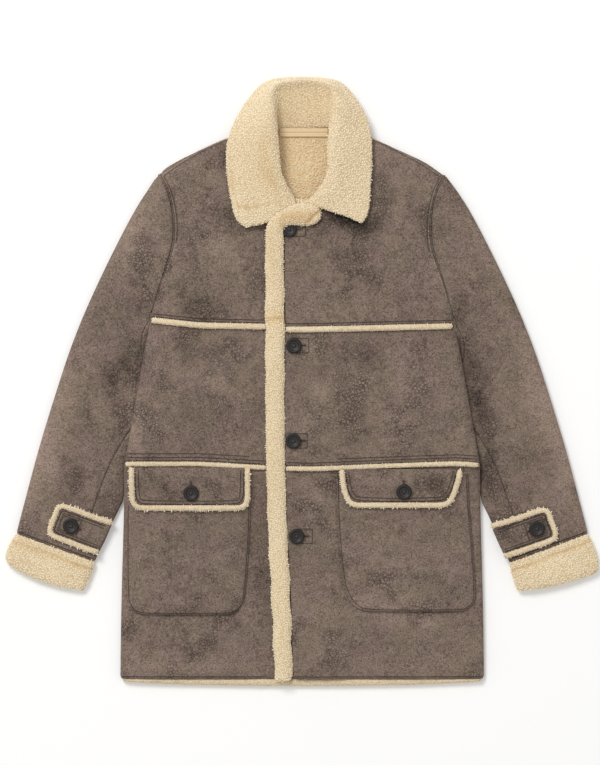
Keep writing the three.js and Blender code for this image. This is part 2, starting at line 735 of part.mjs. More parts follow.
// A flat piece lying on what baseAt gives, with thinner edges.
function layer(name, place, rows, columns, baseAt, wall, material) {
  const outer = [];
  const inner = [];
  const lastRow = rows.length - 1;
  const lastColumn = columns.length - 1;
  rows.forEach((v, r) => {
    const points = columns.map((u) => place(u, v));
    const thin = (c) => (r === lastRow || r === 0 || c === 0 || c === lastColumn ? 0.6 : 1);
    outer.push(points.map((p, c) => p.clone().setZ(baseAt(p) + wall * thin(c))));
    inner.push(points.map((p) => p.clone().setZ(baseAt(p))));
  });
  addPiece(name, sheet(outer, inner), material);
}

// The outline of such a piece from one top corner round to the other, moved out.
function edging(place, rows, columns, out) {
  const points = rows.map((v) => place(0, v));
  points.push(...columns.slice(1, -1).map((u) => place(u, 1)));
  points.push(...[...rows].reverse().map((v) => place(1, v)));
  return points.map((point, i) => {
    const before = points[Math.max(0, i - 1)];
    const after = points[Math.min(points.length - 1, i + 1)];
    const along = after.clone().sub(before).normalize();
    return point.clone().addScaledVector(flat(along.y, -along.x), out);
  });
}

function makePocket(side) {
  const hand = side < 0 ? 'left' : 'right';
  const cut = POCKETS[side];
  const rows = roundedRows(cut, [0, 0.07, 0.14, 0.21, 0.28, 0.5, 0.75, 1]);
  const columns = [0, 0.03, 0.1, 0.2, 0.31, 0.42, 0.54, 0.66, 0.78, 0.9, 0.97, 1];
  layer(`pocket_${hand}`, roundedPlace(cut), rows, columns,
    (point) => frontZ(side, point) + LYING_GAP, POCKET_WALL, makeSuede());
}

function makeFlap(side) {
  const hand = side < 0 ? 'left' : 'right';
  const cut = FLAPS[side];
  const place = roundedPlace(cut);
  const rows = roundedRows(cut, [0, 0.35, 0.7, 1]);
  const columns = [0, 0.04, 0.13, 0.24, 0.35, 0.46, 0.57, 0.68, 0.79, 0.9, 1];
  const base = (point) => frontZ(side, point) + FLAP_LIFT;
  layer(`flap_${hand}`, place, rows, columns, base, FLAP_WALL, makeSuede());
  const path = edging(place, rows, columns, EDGE_WIDTH / 2 + 0.4).map((point) => (
    { x: point.x, y: point.y, width: EDGE_WIDTH, height: EDGE_HEIGHT, base }
  ));
  addPiece(`flap_edge_${hand}`, pileBar(path, THIN_SECTION), makePile());
}

// ---------- cuffs and their tabs
const CUFF_HEIGHT = 17;
const CUFF_WALL = 7;
const CUFF_SHARES = [0, 0.012, 0.045, 0.12, 0.35, 0.65, 0.88, 0.955, 0.988, 1];
const CUFF_ROWS = [
  { v: 0, full: 0.93 }, { v: 0.2, full: 1 }, { v: 0.7, full: 1 }, { v: 0.93, full: 0.85 },
  { v: 1, full: 0.5 },
];

function makeCuff(side) {
  const hand = side < 0 ? 'left' : 'right';
  const cut = CUFF[side];
  const free = edgeOf(cut.free, side);
  const outerEdge = edgeOf(cut.outer, side);
  const innerEdge = edgeOf(cut.inner, side);
  const seam = edgeThrough([outerEdge(0), innerEdge(0)]);
  const place = patch(seam, free, outerEdge, innerEdge);
  const middle = CUFF_HEIGHT / 2;
  const ring = (v, full, inset, half) => {
    const width = place(0, v).distanceTo(place(1, v));
    const at = (share, up) => {
      const u = inset / width + (1 - (2 * inset) / width) * share;
      const distance = Math.min(share, 1 - share) * width;
      return place(u, v).setZ(middle + up * half * full * turn(distance));
    };
    const top = CUFF_SHARES.map((share) => at(share, 1));
    const below = [...CUFF_SHARES].reverse().slice(1, -1).map((share) => at(share, -1));
    return [...top, ...below];
  };
  const outer = CUFF_ROWS.map(({ v, full }) => ring(v, full, 0, middle));
  const inner = CUFF_ROWS.map(({ v }) => ring(v, 1, CUFF_WALL, 1));
  addPiece(`cuff_${hand}`, bar([...outer, ...inner.reverse()], true), makePile());
}

// Each tab runs from the inner edge of the sleeve to its tip, x and y.
const TABS = {
  '-1': { start: [-318, -249.5], tip: [-392, -221.5] },
  1: { start: [315, -255.5], tip: [394, -228] },
};
const TAB_WIDTH = 41;
const TAB_WALL = 3;

function makeTab(side) {
  const hand = side < 0 ? 'left' : 'right';
  const start = flat(...TABS[side].start);
  const along = flat(...TABS[side].tip).sub(start);
  const across = flat(along.y, -along.x).normalize();
  const cut = {
    top: 0, bottom: -along.length(), corner: 6,
    left: [{ y: 0, x: -TAB_WIDTH / 2 }, { y: -along.length(), x: -TAB_WIDTH / 2 }],
    right: [{ y: 0, x: TAB_WIDTH / 2 }, { y: -along.length(), x: TAB_WIDTH / 2 }],
  };
  const level = roundedPlace(cut);
  const direction = along.clone().normalize();
  const place = (u, v) => {
    const { x, y } = level(u, v);
    return start.clone().addScaledVector(across, x).addScaledVector(direction, -y);
  };
  const rows = roundedRows(cut, [0, 0.1, 0.3, 0.65, 1]);
  const columns = [0, 0.1, 0.5, 0.9, 1];
  const base = (point) => {
    const fold = nearestFold(sleeveFolds[side], sleeveMiddle(side), flat(point.x, point.y));
    return sleeveZ(side, point, fold.distance) + LYING_GAP;
  };
  layer(`cuff_tab_${hand}`, place, rows, columns, base, TAB_WALL, makeSuede());
  const path = edging(place, rows, columns, -EDGE_WIDTH / 2 - 0.4).map((point) => (
    { x: point.x, y: point.y, width: EDGE_WIDTH, height: EDGE_HEIGHT, base }
  ));
  addPiece(`cuff_tab_edge_${hand}`, pileBar(path, THIN_SECTION), makePile());
}

// ---------- collar
const COLLAR_WALL = 7;
const ROLL_DEPTH = 9; // the inside of the roll below its crest
const CREST_OUT = 10; // how far the crest is from the inside of the roll
const COLLAR_COLUMNS = [
  'seamX', 'seamY', 'seamZ', 'rollX', 'rollY', 'crestZ', 'edgeX', 'edgeY', 'edgeZ',
];
const COLLAR = [
  [-24, 292, 22, -18, 296, 33, -87, 248, 26],
  [-40, 310, 22, -27, 317, 37, -111, 273, 26],
  [-53, 335, 16.5, -31, 341, 40, -119, 314, 26],
  [-60, 360, 17.2, -34, 367, 42, -122.5, 350, 25.5],
  [-60, 384, 16.5, -37, 395, 43, -121, 384, 25],
  [-54, 399, 14, -40, 418, 43, -111, 412, 23],
  [-46, 405, 12, -42, 438, 41, -96, 438, 20],
  [-37, 405.5, 10.5, -42, 455, 38, -80, 461, 17],
  [-28, 405, 9.8, -38, 467, 34, -61, 481, 14],
  [-16, 404.5, 9.4, -22, 473, 30, -34, 486, 11],
  [0, 404, 9.2, 2, 474, 28, 2, 487, 9],
  [16, 404.5, 9.4, 26, 473, 30, 40, 485.5, 11],
  [28, 405, 9.8, 42, 466, 34, 64, 479.5, 14],
  [37, 405.5, 10.5, 48, 452, 38, 82, 460, 17],
  [46, 405, 12, 47, 436, 41, 97, 436, 20],
  [54, 399, 15, 43, 414, 43, 107.5, 414, 23],
  [60, 384, 18.5, 40, 393, 43, 112, 384, 25],
  [60, 360, 20, 37, 367, 42, 112, 352, 26],
  [53, 335, 21.2, 38, 343, 40, 110, 318, 27],
  [40, 313, 22, 33, 319, 37, 108, 284, 28],
  [30, 306, 22, 25, 311, 35.5, 105, 265, 28],
  [20, 299, 22, 15, 301, 33, 94, 254, 28],
].map((row) => Object.fromEntries(row.map((value, i) => [COLLAR_COLUMNS[i], value])));

// One section of the collar: up the stand, over the roll and down the leaf.
function collarSection(row) {
  const seam = new THREE.Vector3(row.seamX, row.seamY, row.seamZ);
  const roll = new THREE.Vector3(row.rollX, row.rollY, row.crestZ - ROLL_DEPTH);
  const edge = new THREE.Vector3(row.edgeX, row.edgeY, row.edgeZ);
  const outward = flat(edge.x - roll.x, edge.y - roll.y);
  const crest = roll.clone().addScaledVector(outward.clone().normalize(), CREST_OUT);
  crest.z = row.crestZ;
  const leaf = roll.clone().addScaledVector(outward, 0.6);
  leaf.z = row.edgeZ + (row.crestZ - row.edgeZ) * 0.5;
  const curve = new THREE.CatmullRomCurve3([seam, roll, crest, leaf, edge], false, 'centripetal');
  return [0, 0.14, 0.27, 0.36, 0.44, 0.52, 0.62, 0.75, 0.88, 1].map((t) => curve.getPointAt(t));
}

function makeCollar() {
  const outer = COLLAR.map(collarSection);
  const pick = (r, c) => outer[Math.min(outer.length - 1, Math.max(0, r))][
    Math.min(outer[0].length - 1, Math.max(0, c))];
  const inner = outer.map((row, r) => row.map((point, c) => {
    const along = pick(r + 1, c).clone().sub(pick(r - 1, c));
    const down = pick(r, c + 1).clone().sub(pick(r, c - 1));
    const under = down.cross(along).normalize();
    return point.clone().addScaledVector(under, COLLAR_WALL);
  }));
  addPiece('collar', sheet(outer, inner), makePile());
}

// ---------- tape over the seam inside the back of the neck
const TAPE_ROWS = [390.5, 402];
const TAPE_COLUMNS = [-36, -18, 2, 22, 41];
const TAPE_GAP = 0.9; // clearance over the back
const TAPE_THICKNESS = 1.4;

function makeNeckTape() {
  const rows = TAPE_ROWS.map((y) => (
    TAPE_COLUMNS.map((x) => new THREE.Vector3(x, y - (x / 60) ** 2, WALL + TAPE_GAP))
  ));
  const above = rows.map((row) => row.map((point) => (
    point.clone().setZ(WALL + TAPE_GAP + TAPE_THICKNESS)
  )));
  addPiece('neck_tape', sheet(above, rows), makeTape());
}

// ---------- buttons
const BUTTONS = {
  front_1: { x: -17, y: 238, on: 'overlap' },
  front_2: { x: -13.5, y: 57, on: 'overlap' },
  front_3: { x: -14.5, y: -95, on: 'overlap' },
  front_4: { x: -8.8, y: -247, on: 'overlap' },
  flap_left: { x: -177, y: -178, on: 'flap' },
  flap_right: { x: 162, y: -176, on: 'flap' },
  cuff_left: { x: -369, y: -230.5, on: 'tab' },
  cuff_right: { x: 374, y: -235, on: 'tab' },
};
const BUTTON_PROFILE = [
  [0, 0], [3.4, 0], [3.6, 1.2], [10, 1.4], [BUTTON_RADIUS, 3], [BUTTON_RADIUS, 4.4], [10.6, 5.4],
  [8.6, 4.4], [0, 4.2],
];

function makeButton(name, { x, y, on }) {
  const side = on === 'overlap' ? 1 : Math.sign(x);
  const point = flat(x, y);
  const fold = nearestFold(sleeveFolds[side], sleeveMiddle(side), point);
  const base = {
    overlap: FRONT_Z + OVERLAP_RISE + 0.3,
    flap: frontZ(side, point) + FLAP_LIFT + FLAP_WALL,
    tab: sleeveZ(side, point, fold.distance) + LYING_GAP + TAB_WALL,
  }[on];
  const profile = BUTTON_PROFILE.map(([radius, z]) => new THREE.Vector2(radius, z));
  const geometry = new THREE.LatheGeometry(profile, 12);
  geometry.rotateX(Math.PI / 2);
  const mesh = new THREE.Mesh(geometry, makeHorn());
  mesh.name = `button_${name}`;
  mesh.position.set(x, y, base + 0.6);
  coat.add(mesh);
}

makeStrip();
makeHemPile();
makeCollar();
makeNeckTape();
for (const side of [-1, 1]) {
  const hand = side < 0 ? 'left' : 'right';
  makeBead(`chest_trim_${hand}`, side, chestY, 9.5, 6);
  makeBead(`waist_trim_${hand}`, side, waistY, 8, 5.5);
  makePocket(side);
  makeFlap(side);
  makeCuff(side);
  makeTab(side);
}
for (const [name, button] of Object.entries(BUTTONS)) makeButton(name, button);

export default coat;
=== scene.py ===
# %% [markdown]
# # A sherpa coat, laid flat
# A car coat of bonded suede lies on its back on a pale floor with its front up. The suede is the
# skin side of the cloth and the curly pile is its other side, so pile shows wherever an edge is
# turned: at the collar, the cuffs, the front edge, the seams and round the flaps and tabs.
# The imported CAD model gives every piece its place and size. This lesson dresses those solids:
# softer cloth, folds, curls of pile, thread, horn buttons and their holes.

# %% The frame
import bpy
import numpy as np
from math import pi, radians
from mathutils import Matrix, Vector, kdtree
from mathutils.bvhtree import BVHTree


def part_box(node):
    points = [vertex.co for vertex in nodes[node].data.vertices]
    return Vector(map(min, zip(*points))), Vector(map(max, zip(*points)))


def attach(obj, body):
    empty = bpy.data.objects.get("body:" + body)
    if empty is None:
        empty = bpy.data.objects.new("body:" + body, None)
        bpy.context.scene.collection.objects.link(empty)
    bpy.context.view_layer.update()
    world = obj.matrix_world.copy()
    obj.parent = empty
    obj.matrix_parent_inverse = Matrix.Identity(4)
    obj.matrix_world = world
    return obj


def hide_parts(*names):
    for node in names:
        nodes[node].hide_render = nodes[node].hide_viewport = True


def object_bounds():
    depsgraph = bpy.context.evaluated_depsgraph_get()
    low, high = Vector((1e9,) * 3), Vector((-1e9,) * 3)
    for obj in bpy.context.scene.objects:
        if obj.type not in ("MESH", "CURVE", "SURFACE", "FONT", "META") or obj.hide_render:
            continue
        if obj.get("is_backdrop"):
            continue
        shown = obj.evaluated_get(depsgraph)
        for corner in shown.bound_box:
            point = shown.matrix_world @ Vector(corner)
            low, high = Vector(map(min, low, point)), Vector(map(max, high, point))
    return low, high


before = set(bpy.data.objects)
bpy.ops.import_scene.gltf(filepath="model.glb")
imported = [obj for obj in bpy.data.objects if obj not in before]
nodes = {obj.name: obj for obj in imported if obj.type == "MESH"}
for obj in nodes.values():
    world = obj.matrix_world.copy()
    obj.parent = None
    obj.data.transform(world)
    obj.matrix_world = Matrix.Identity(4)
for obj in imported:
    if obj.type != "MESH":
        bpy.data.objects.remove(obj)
cad_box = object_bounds()
MM = 0.001
print("solids:", len(nodes), "box:", [round(v, 3) for corner in cad_box for v in corner])

# %% [markdown]
# ## Floor, light and camera
# A coat in a catalogue lies on a white table under a large lamp at its upper left, in a white
# room that fills the shadows. The camera hangs straight above. A far camera with a long lens is
# chosen, because it keeps the raised collar from looking larger than the cloth round it.

# %% Floor, lamp and camera
CAMERA_HEIGHT = 6.0  # metres, like the rest of this cell
CAMERA_OVER = (-0.0035, -0.0019)
VIEW_LENGTH = 1.224
SENSOR = 36
LAMP_PLACE = Vector((-2.5, 3.8, 5.7))
FLOOR_GAP = 0.0006  # the floor lies this far below the coat

scene = bpy.context.scene
scene.view_settings.view_transform = "Standard"


def feed(node, values):
    """Gives inputs of a node a number, a colour of three numbers or another node's output."""
    for key, value in values.items():
        socket = node.inputs[key]
        if isinstance(value, bpy.types.NodeSocket):
            node.id_data.links.new(value, socket)
        elif socket.type == "RGBA":
            socket.default_value = (*value, 1)
        else:
            socket.default_value = value


bpy.ops.object.select_all(action="DESELECT")
bpy.ops.mesh.primitive_plane_add(size=14, location=(0, 0, -FLOOR_GAP))
floor = bpy.context.object
floor.name = "floor"
floor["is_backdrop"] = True
white = bpy.data.materials.new("white_table")
white.use_nodes = True
feed(white.node_tree.nodes["Principled BSDF"], {
    "Base Color": (0.82, 0.82, 0.815), "Roughness": 0.9, "Specular IOR Level": 0.1,
    "Emission Color": (1, 1, 1), "Emission Strength": 0.145,
})
floor.data.materials.append(white)

world = bpy.data.worlds.new("white_room")
world.use_nodes = True
feed(world.node_tree.nodes["Background"], {"Color": (1, 0.99, 0.97), "Strength": 0.62})
scene.world = world

bpy.ops.object.light_add(type="AREA", location=LAMP_PLACE)
lamp = bpy.context.object
lamp.name = "key_lamp"
lamp.data.size = 2.6
lamp.data.energy = 322
lamp.rotation_euler = (-LAMP_PLACE).to_track_quat("-Z", "Y").to_euler()

bpy.ops.object.camera_add(location=(*CAMERA_OVER, CAMERA_HEIGHT), rotation=(0, 0, 0))
camera = bpy.context.object
camera.name = "camera_above"
camera.data.sensor_width = SENSOR
camera.data.lens = SENSOR * CAMERA_HEIGHT / VIEW_LENGTH
scene.camera = camera
print("lens:", round(camera.data.lens, 1), "mm")

# %% [markdown]
# ## Finishes
# The suede has a nap that goes light and dark in clouds, a fine grain, and a worn crackle that
# comes in patches. The pile is a mass of curls, painted darker at the root and low on each curl
# as the shade between them. Each finish is worked out from Object coordinates with noise, so
# that it lies on the cloth without a picture and goes on over the seams. Small helpers keep each
# recipe short enough to read.

# %% Helpers for finishes
def start_finish(name, roughness):
    finish = bpy.data.materials.new(name)
    finish.use_nodes = True
    tree = finish.node_tree
    shader = tree.nodes["Principled BSDF"]
    feed(shader, {"Roughness": roughness})
    return finish, tree, shader, new_node(tree, "TexCoord", {}).outputs["Object"]


def new_node(tree, kind, values, **settings):
    """A node of a kind with its settings, and with what its inputs are fed."""
    node = tree.nodes.new("ShaderNode" + kind)
    for name, value in settings.items():
        setattr(node, name, value)
    feed(node, values)
    return node


def noise(tree, place, scale, detail=2.0, roughness=0.5):
    values = {"Vector": place, "Scale": scale, "Detail": detail, "Roughness": roughness}
    return new_node(tree, "TexNoise", values).outputs["Fac"]


def cells(tree, place, scale, feature="DISTANCE_TO_EDGE"):
    values = {"Vector": place, "Scale": scale}
    return new_node(tree, "TexVoronoi", values, feature=feature).outputs["Distance"]


def wave(tree, place, direction="X", **values):
    values = {"Vector": place, **{name.replace("_", " "): value for name, value in values.items()}}
    return new_node(tree, "TexWave", values, bands_direction=direction).outputs["Fac"]


def spread(tree, value, low, high, out_low=0.0, out_high=1.0):
    """Stretches a value from its range to another one."""
    values = {0: value, 1: low, 2: high, 3: out_low, 4: out_high}
    return new_node(tree, "MapRange", values).outputs[0]


def calc(tree, operation, first, second):
    return new_node(tree, "Math", {0: first, 1: second}, operation=operation).outputs[0]


def mixed(tree, *parts):
    """The sum of values, each with its share."""
    total = 0.0
    for value, share in parts:
        total = calc(tree, "ADD", calc(tree, "MULTIPLY", value, share), total)
    return total


def blend(tree, share, first, second, way="MIX"):
    values = {0: share, 6: first, 7: second}
    return new_node(tree, "Mix", values, data_type="RGBA", blend_type=way).outputs[2]


def bumped(tree, shader, height, distance, strength):
    bump = new_node(tree, "Bump", {"Distance": distance, "Strength": strength, "Height": height})
    feed(shader, {"Normal": bump.outputs["Normal"]})


def attribute(tree, name):
    return new_node(tree, "Attribute", {}, attribute_name=name).outputs["Fac"]


print("helpers ready")

# %% The suede
SUEDE_PALEST = (0.378, 0.286, 0.236)
SUEDE_DARKEST = (0.008, 0.005, 0.004)
SUEDE_CRACK = (0.030, 0.020, 0.017)
RUDDY, OLIVE = (1.03, 0.985, 0.985), (0.995, 1.002, 0.925)  # tints that it wanders between


def wandering(tree, place, scale, amount):
    """Coordinates that wander by a small amount, so that a web of lines isn't straight."""
    wander = new_node(tree, "TexNoise", {"Vector": place, "Scale": scale}).outputs["Color"]
    small = new_node(tree, "VectorMath", {0: wander, "Scale": amount}, operation="SCALE")
    return new_node(tree, "VectorMath", {0: place, 1: small.outputs[0]}, operation="ADD").outputs[0]


def make_suede(name, sewn=False):
    """Suede with painted light, painted shade and wear on its points, and darker painted shade in a
    furrow.
    """
    finish, tree, shader, place = start_finish(name, 0.88)
    blotches = noise(tree, place, 42, 4, 0.6)
    mottle = noise(tree, place, 150, 3, 0.6)
    grain = noise(tree, place, 430, 4, 0.8)
    # painted light above zero and painted shade below it, read from the points
    painted_light_and_wear = attribute(tree, "painted_light_and_wear")
    clouds = noise(tree, place, 9, 3, 0.55)
    tone = mixed(tree, (clouds, 0.14), (blotches, 0.14), (mottle, 0.16), (grain, 0.56))
    tone = calc(tree, "ADD", spread(tree, tone, 0.412, 0.588), painted_light_and_wear)
    colour = blend(tree, spread(tree, tone, -0.5, 1.5), SUEDE_DARKEST, SUEDE_PALEST)
    hue = blend(tree, spread(tree, noise(tree, place, 26, 3, 0.6), 0.38, 0.62), RUDDY, OLIVE)
    colour = blend(tree, 1.0, colour, hue, "MULTIPLY")
    web = cells(tree, wandering(tree, place, 120, 0.006), 210)
    lines = spread(tree, web, 0.02, 0.16, 1.0, 0.0)
    worn = calc(tree, "MULTIPLY", painted_light_and_wear, 0.22)
    rubbed = calc(tree, "SUBTRACT", noise(tree, place, 17, 3, 0.65), worn)
    crackle = calc(tree, "MULTIPLY", lines, spread(tree, rubbed, 0.49, 0.64))
    pits = spread(tree, grain, 0.36, 0.47, 0.6, 0.0)
    marks = calc(tree, "MAXIMUM", calc(tree, "MULTIPLY", crackle, 0.72), pits)
    colour = blend(tree, marks, colour, SUEDE_CRACK)
    # a furrow's painted shade, or its pale painted highlight, multiplies the colour
    if sewn:
        colour = blend(tree, 1.0, colour, attribute(tree, "furrow"), "MULTIPLY")
    feed(shader, {
        "Base Color": colour, "Specular IOR Level": 0.2,
        "Sheen Weight": 0.16, "Sheen Roughness": 0.5, "Sheen Tint": (0.75, 0.66, 0.58),
    })
    relief = mixed(tree, (grain, 1.0), (mottle, 0.7), (blotches, 0.5), (crackle, -0.9))
    bumped(tree, shader, relief, 0.0013, 0.8)
    return finish


suede = make_suede("bonded_suede")
print("suede nodes:", len(suede.node_tree.nodes))

# %% The pile, its roots and its curls
# a darker, orange-brown tint that paints shade on the pile
PILE_SHADE_TINT = (0.84, 0.72, 0.54)


def make_pile(name, dark, light, from_curls=True):
    """Pile, either as curls with a value on their points or as the roots under them."""
    finish, tree, shader, place = start_finish(name, 0.92)
    fuzz = noise(tree, place, 1300, 2, 0.6)
    if from_curls:
        tone = mixed(tree, (attribute(tree, "curl"), 0.62), (fuzz, 0.2))
        relief, depth = fuzz, 0.0004
    else:
        # darker between the knots: painted shade in the crevices of the roots
        knots = cells(tree, place, 260, "F1")
        tone = spread(tree, knots, 0.1, 0.75, 0.75, 0.0)
        relief, depth = calc(tree, "SUBTRACT", fuzz, knots), 0.0012
    clouds = noise(tree, place, 14, 2, 0.5)
    tone = calc(tree, "ADD", tone, spread(tree, clouds, 0.3, 0.7, -0.08, 0.16))
    colour = blend(tree, spread(tree, tone, 0.0, 1.0), dark, light)
    # painted shade, and darker sewn lines, from a value on the points
    colour = blend(tree, attribute(tree, "painted_shade_and_seams"), colour, PILE_SHADE_TINT, "MULTIPLY")
    # the faint orange emission is painted light: a glow that lifts the shade in the pile
    feed(shader, {
        "Base Color": colour, "Specular IOR Level": 0.15,
        "Emission Color": (1.0, 0.80, 0.55), "Emission Strength": 0.02,
        "Sheen Weight": 0.45, "Sheen Roughness": 0.6, "Sheen Tint": (1, 0.93, 0.8),
    })
    bumped(tree, shader, relief, depth, 0.8)
    return finish


# the roots' darker colour is painted shade under the curls
pile_root = make_pile("pile_roots", (0.63, 0.48, 0.29), (0.88, 0.74, 0.51), from_curls=False)
pile_curl = make_pile("pile_curls", (0.81, 0.655, 0.43), (0.985, 0.912, 0.72))
pile_trim = make_pile("pile_curls_trim", (0.68, 0.555, 0.40), (0.91, 0.83, 0.70))
# a darker copy of the curls' finish: painted shade for the pile inside the neck
shaded_pile_curls = make_pile("pile_curls_painted_shade", (0.58, 0.375, 0.165), (0.95, 0.735, 0.42))
print("pile finishes:", pile_root.name, pile_curl.name, pile_trim.name, shaded_pile_curls.name)

# %% The neck tape
tape_finish, tree, shader, place = start_finish("twill_tape", 0.75)
twill = wave(tree, place, "DIAGONAL", Scale=260, Distortion=0.6)
weave = mixed(tree, (twill, 0.5), (noise(tree, place, 500, 2), 0.5))
plain = blend(tree, weave, (0.62, 0.44, 0.24), (0.86, 0.70, 0.46))
sewn_rows = spread(tree, wave(tree, place, "Y", Scale=43.3, Phase_Offset=0.906), 0.0, 0.3)
colour = blend(tree, sewn_rows, (0.56, 0.40, 0.22), plain)
feed(shader, {"Base Color": colour, "Specular IOR Level": 0.25})
bumped(tree, shader, weave, 0.0005, 0.7)
print("tape finish:", tape_finish.name)

# %% [markdown]
# ## Cloth from the solids
# Every panel of the coat is a thin closed shell that lies where its solid lies. It could be
# drawn again from nothing, but a merged copy of the solid keeps the cut exact. The copy is made
# quads, its rim is given a half crease so that subdivision rounds it like a turned edge, and it
# is subdivided until it is fine enough to take folds.

# %% A fine copy of a solid
MERGE = 0.00002
SHARP = radians(48)


def select_only(piece):
    bpy.ops.object.select_all(action="DESELECT")
    piece.select_set(True)
    bpy.context.view_layer.objects.active = piece


def modify(piece, kind, **settings):
    """Adds a modifier with its settings and applies it."""
    select_only(piece)
    bpy.ops.object.modifier_add(type=kind)
    modifier = piece.modifiers[-1]
    for name, value in settings.items():
        setattr(modifier, name, value)
    bpy.ops.object.modifier_apply(modifier=modifier.name)


def edit_points(piece, chosen):
    """Opens the piece for editing with only the chosen points selected."""
    select_only(piece)
    bpy.ops.object.mode_set(mode="EDIT")
    bpy.ops.mesh.select_mode(type="VERT")
    bpy.ops.mesh.select_all(action="DESELECT")
    bpy.ops.object.mode_set(mode="OBJECT")
    piece.data.vertices.foreach_set("select", chosen)
    bpy.ops.object.mode_set(mode="EDIT")


def crease_corners(piece, value):
    """Keeps the points where three sharp edges meet, so that pieces still touch at corners."""
    sharp = np.zeros(len(piece.data.vertices), int)
    for edge in piece.data.edges:
        if edge.select:
            sharp[list(edge.vertices)] += 1
    edit_points(piece, sharp > 2)
    bpy.ops.transform.vert_crease(value=value)
    bpy.ops.object.mode_set(mode="OBJECT")


def cloth_from(node, name, finish, levels=2, crease=0.35, corner=0.0):
    """A fine copy of the node's solid, with rounded rims, that takes the node's place."""
    piece = bpy.data.objects.new(name, nodes[node].data.copy())
    scene.collection.objects.link(piece)
    piece.data.materials.clear()
    piece.data.materials.append(finish)
    select_only(piece)
    bpy.ops.mesh.customdata_custom_splitnormals_clear()
    bpy.ops.object.mode_set(mode="EDIT")
    bpy.ops.mesh.select_mode(type="EDGE")
    bpy.ops.mesh.select_all(action="SELECT")
    bpy.ops.mesh.remove_doubles(threshold=MERGE)
    bpy.ops.mesh.tris_convert_to_quads(face_threshold=pi, shape_threshold=pi)
    bpy.ops.mesh.select_all(action="DESELECT")
    bpy.ops.mesh.edges_select_sharp(sharpness=SHARP)
    bpy.ops.transform.edge_crease(value=crease)
    bpy.ops.object.mode_set(mode="OBJECT")
    if corner:
        crease_corners(piece, corner)
    modify(piece, "SUBSURF", levels=levels, render_levels=levels)
    bpy.ops.object.shade_smooth()
    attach(piece, "root")
    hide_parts(node)
    return piece


def points_of(piece):
    flat = np.empty(len(piece.data.vertices) * 3)
    piece.data.vertices.foreach_get("co", flat)
    return flat.reshape(-1, 3)


def put_points(piece, points):
    piece.data.vertices.foreach_set("co", points.ravel())
    piece.data.update()


HANDS = {"left": -1, "right": 1}  # each half of the coat, and its side of x = 0
FLAPS_AND_TABS = [f"{part}_{hand}" for part in ("flap", "cuff_tab") for hand in HANDS]
CLOTH_NAMES = ("front_left", "front_right", "back", "sleeve", "pocket")
SUEDE_NODES = [n for n in nodes if n.startswith(CLOTH_NAMES)]
SUEDE_NODES += [n for n in nodes if n in FLAPS_AND_TABS]
panels = {n: cloth_from(n, n + "_cloth", suede, corner=0.9) for n in SUEDE_NODES}


def face_count(pieces):
    return sum(len(piece.data.polygons) for piece in pieces)


print("suede panels:", len(panels), "faces:", face_count(panels.values()))

# %% The pile pieces and the tape
FINER = ("collar", "front_strip", "cuff_left", "cuff_right")
PILE_NODES = [n for n in nodes if n in FINER or n == "hem_pile"]
PILE_NODES += [n for n in nodes if "_trim_" in n or "_edge_" in n]
piles = {}
for node in PILE_NODES:
    levels = 2 if node in FINER else 1
    piles[node] = cloth_from(node, node + "_pile", pile_root, levels)
tape = cloth_from("neck_tape", "neck_tape_weave", tape_finish, 3, crease=0.7, corner=0.9)
print("pile pieces:", len(piles), "faces:", face_count(piles.values()))
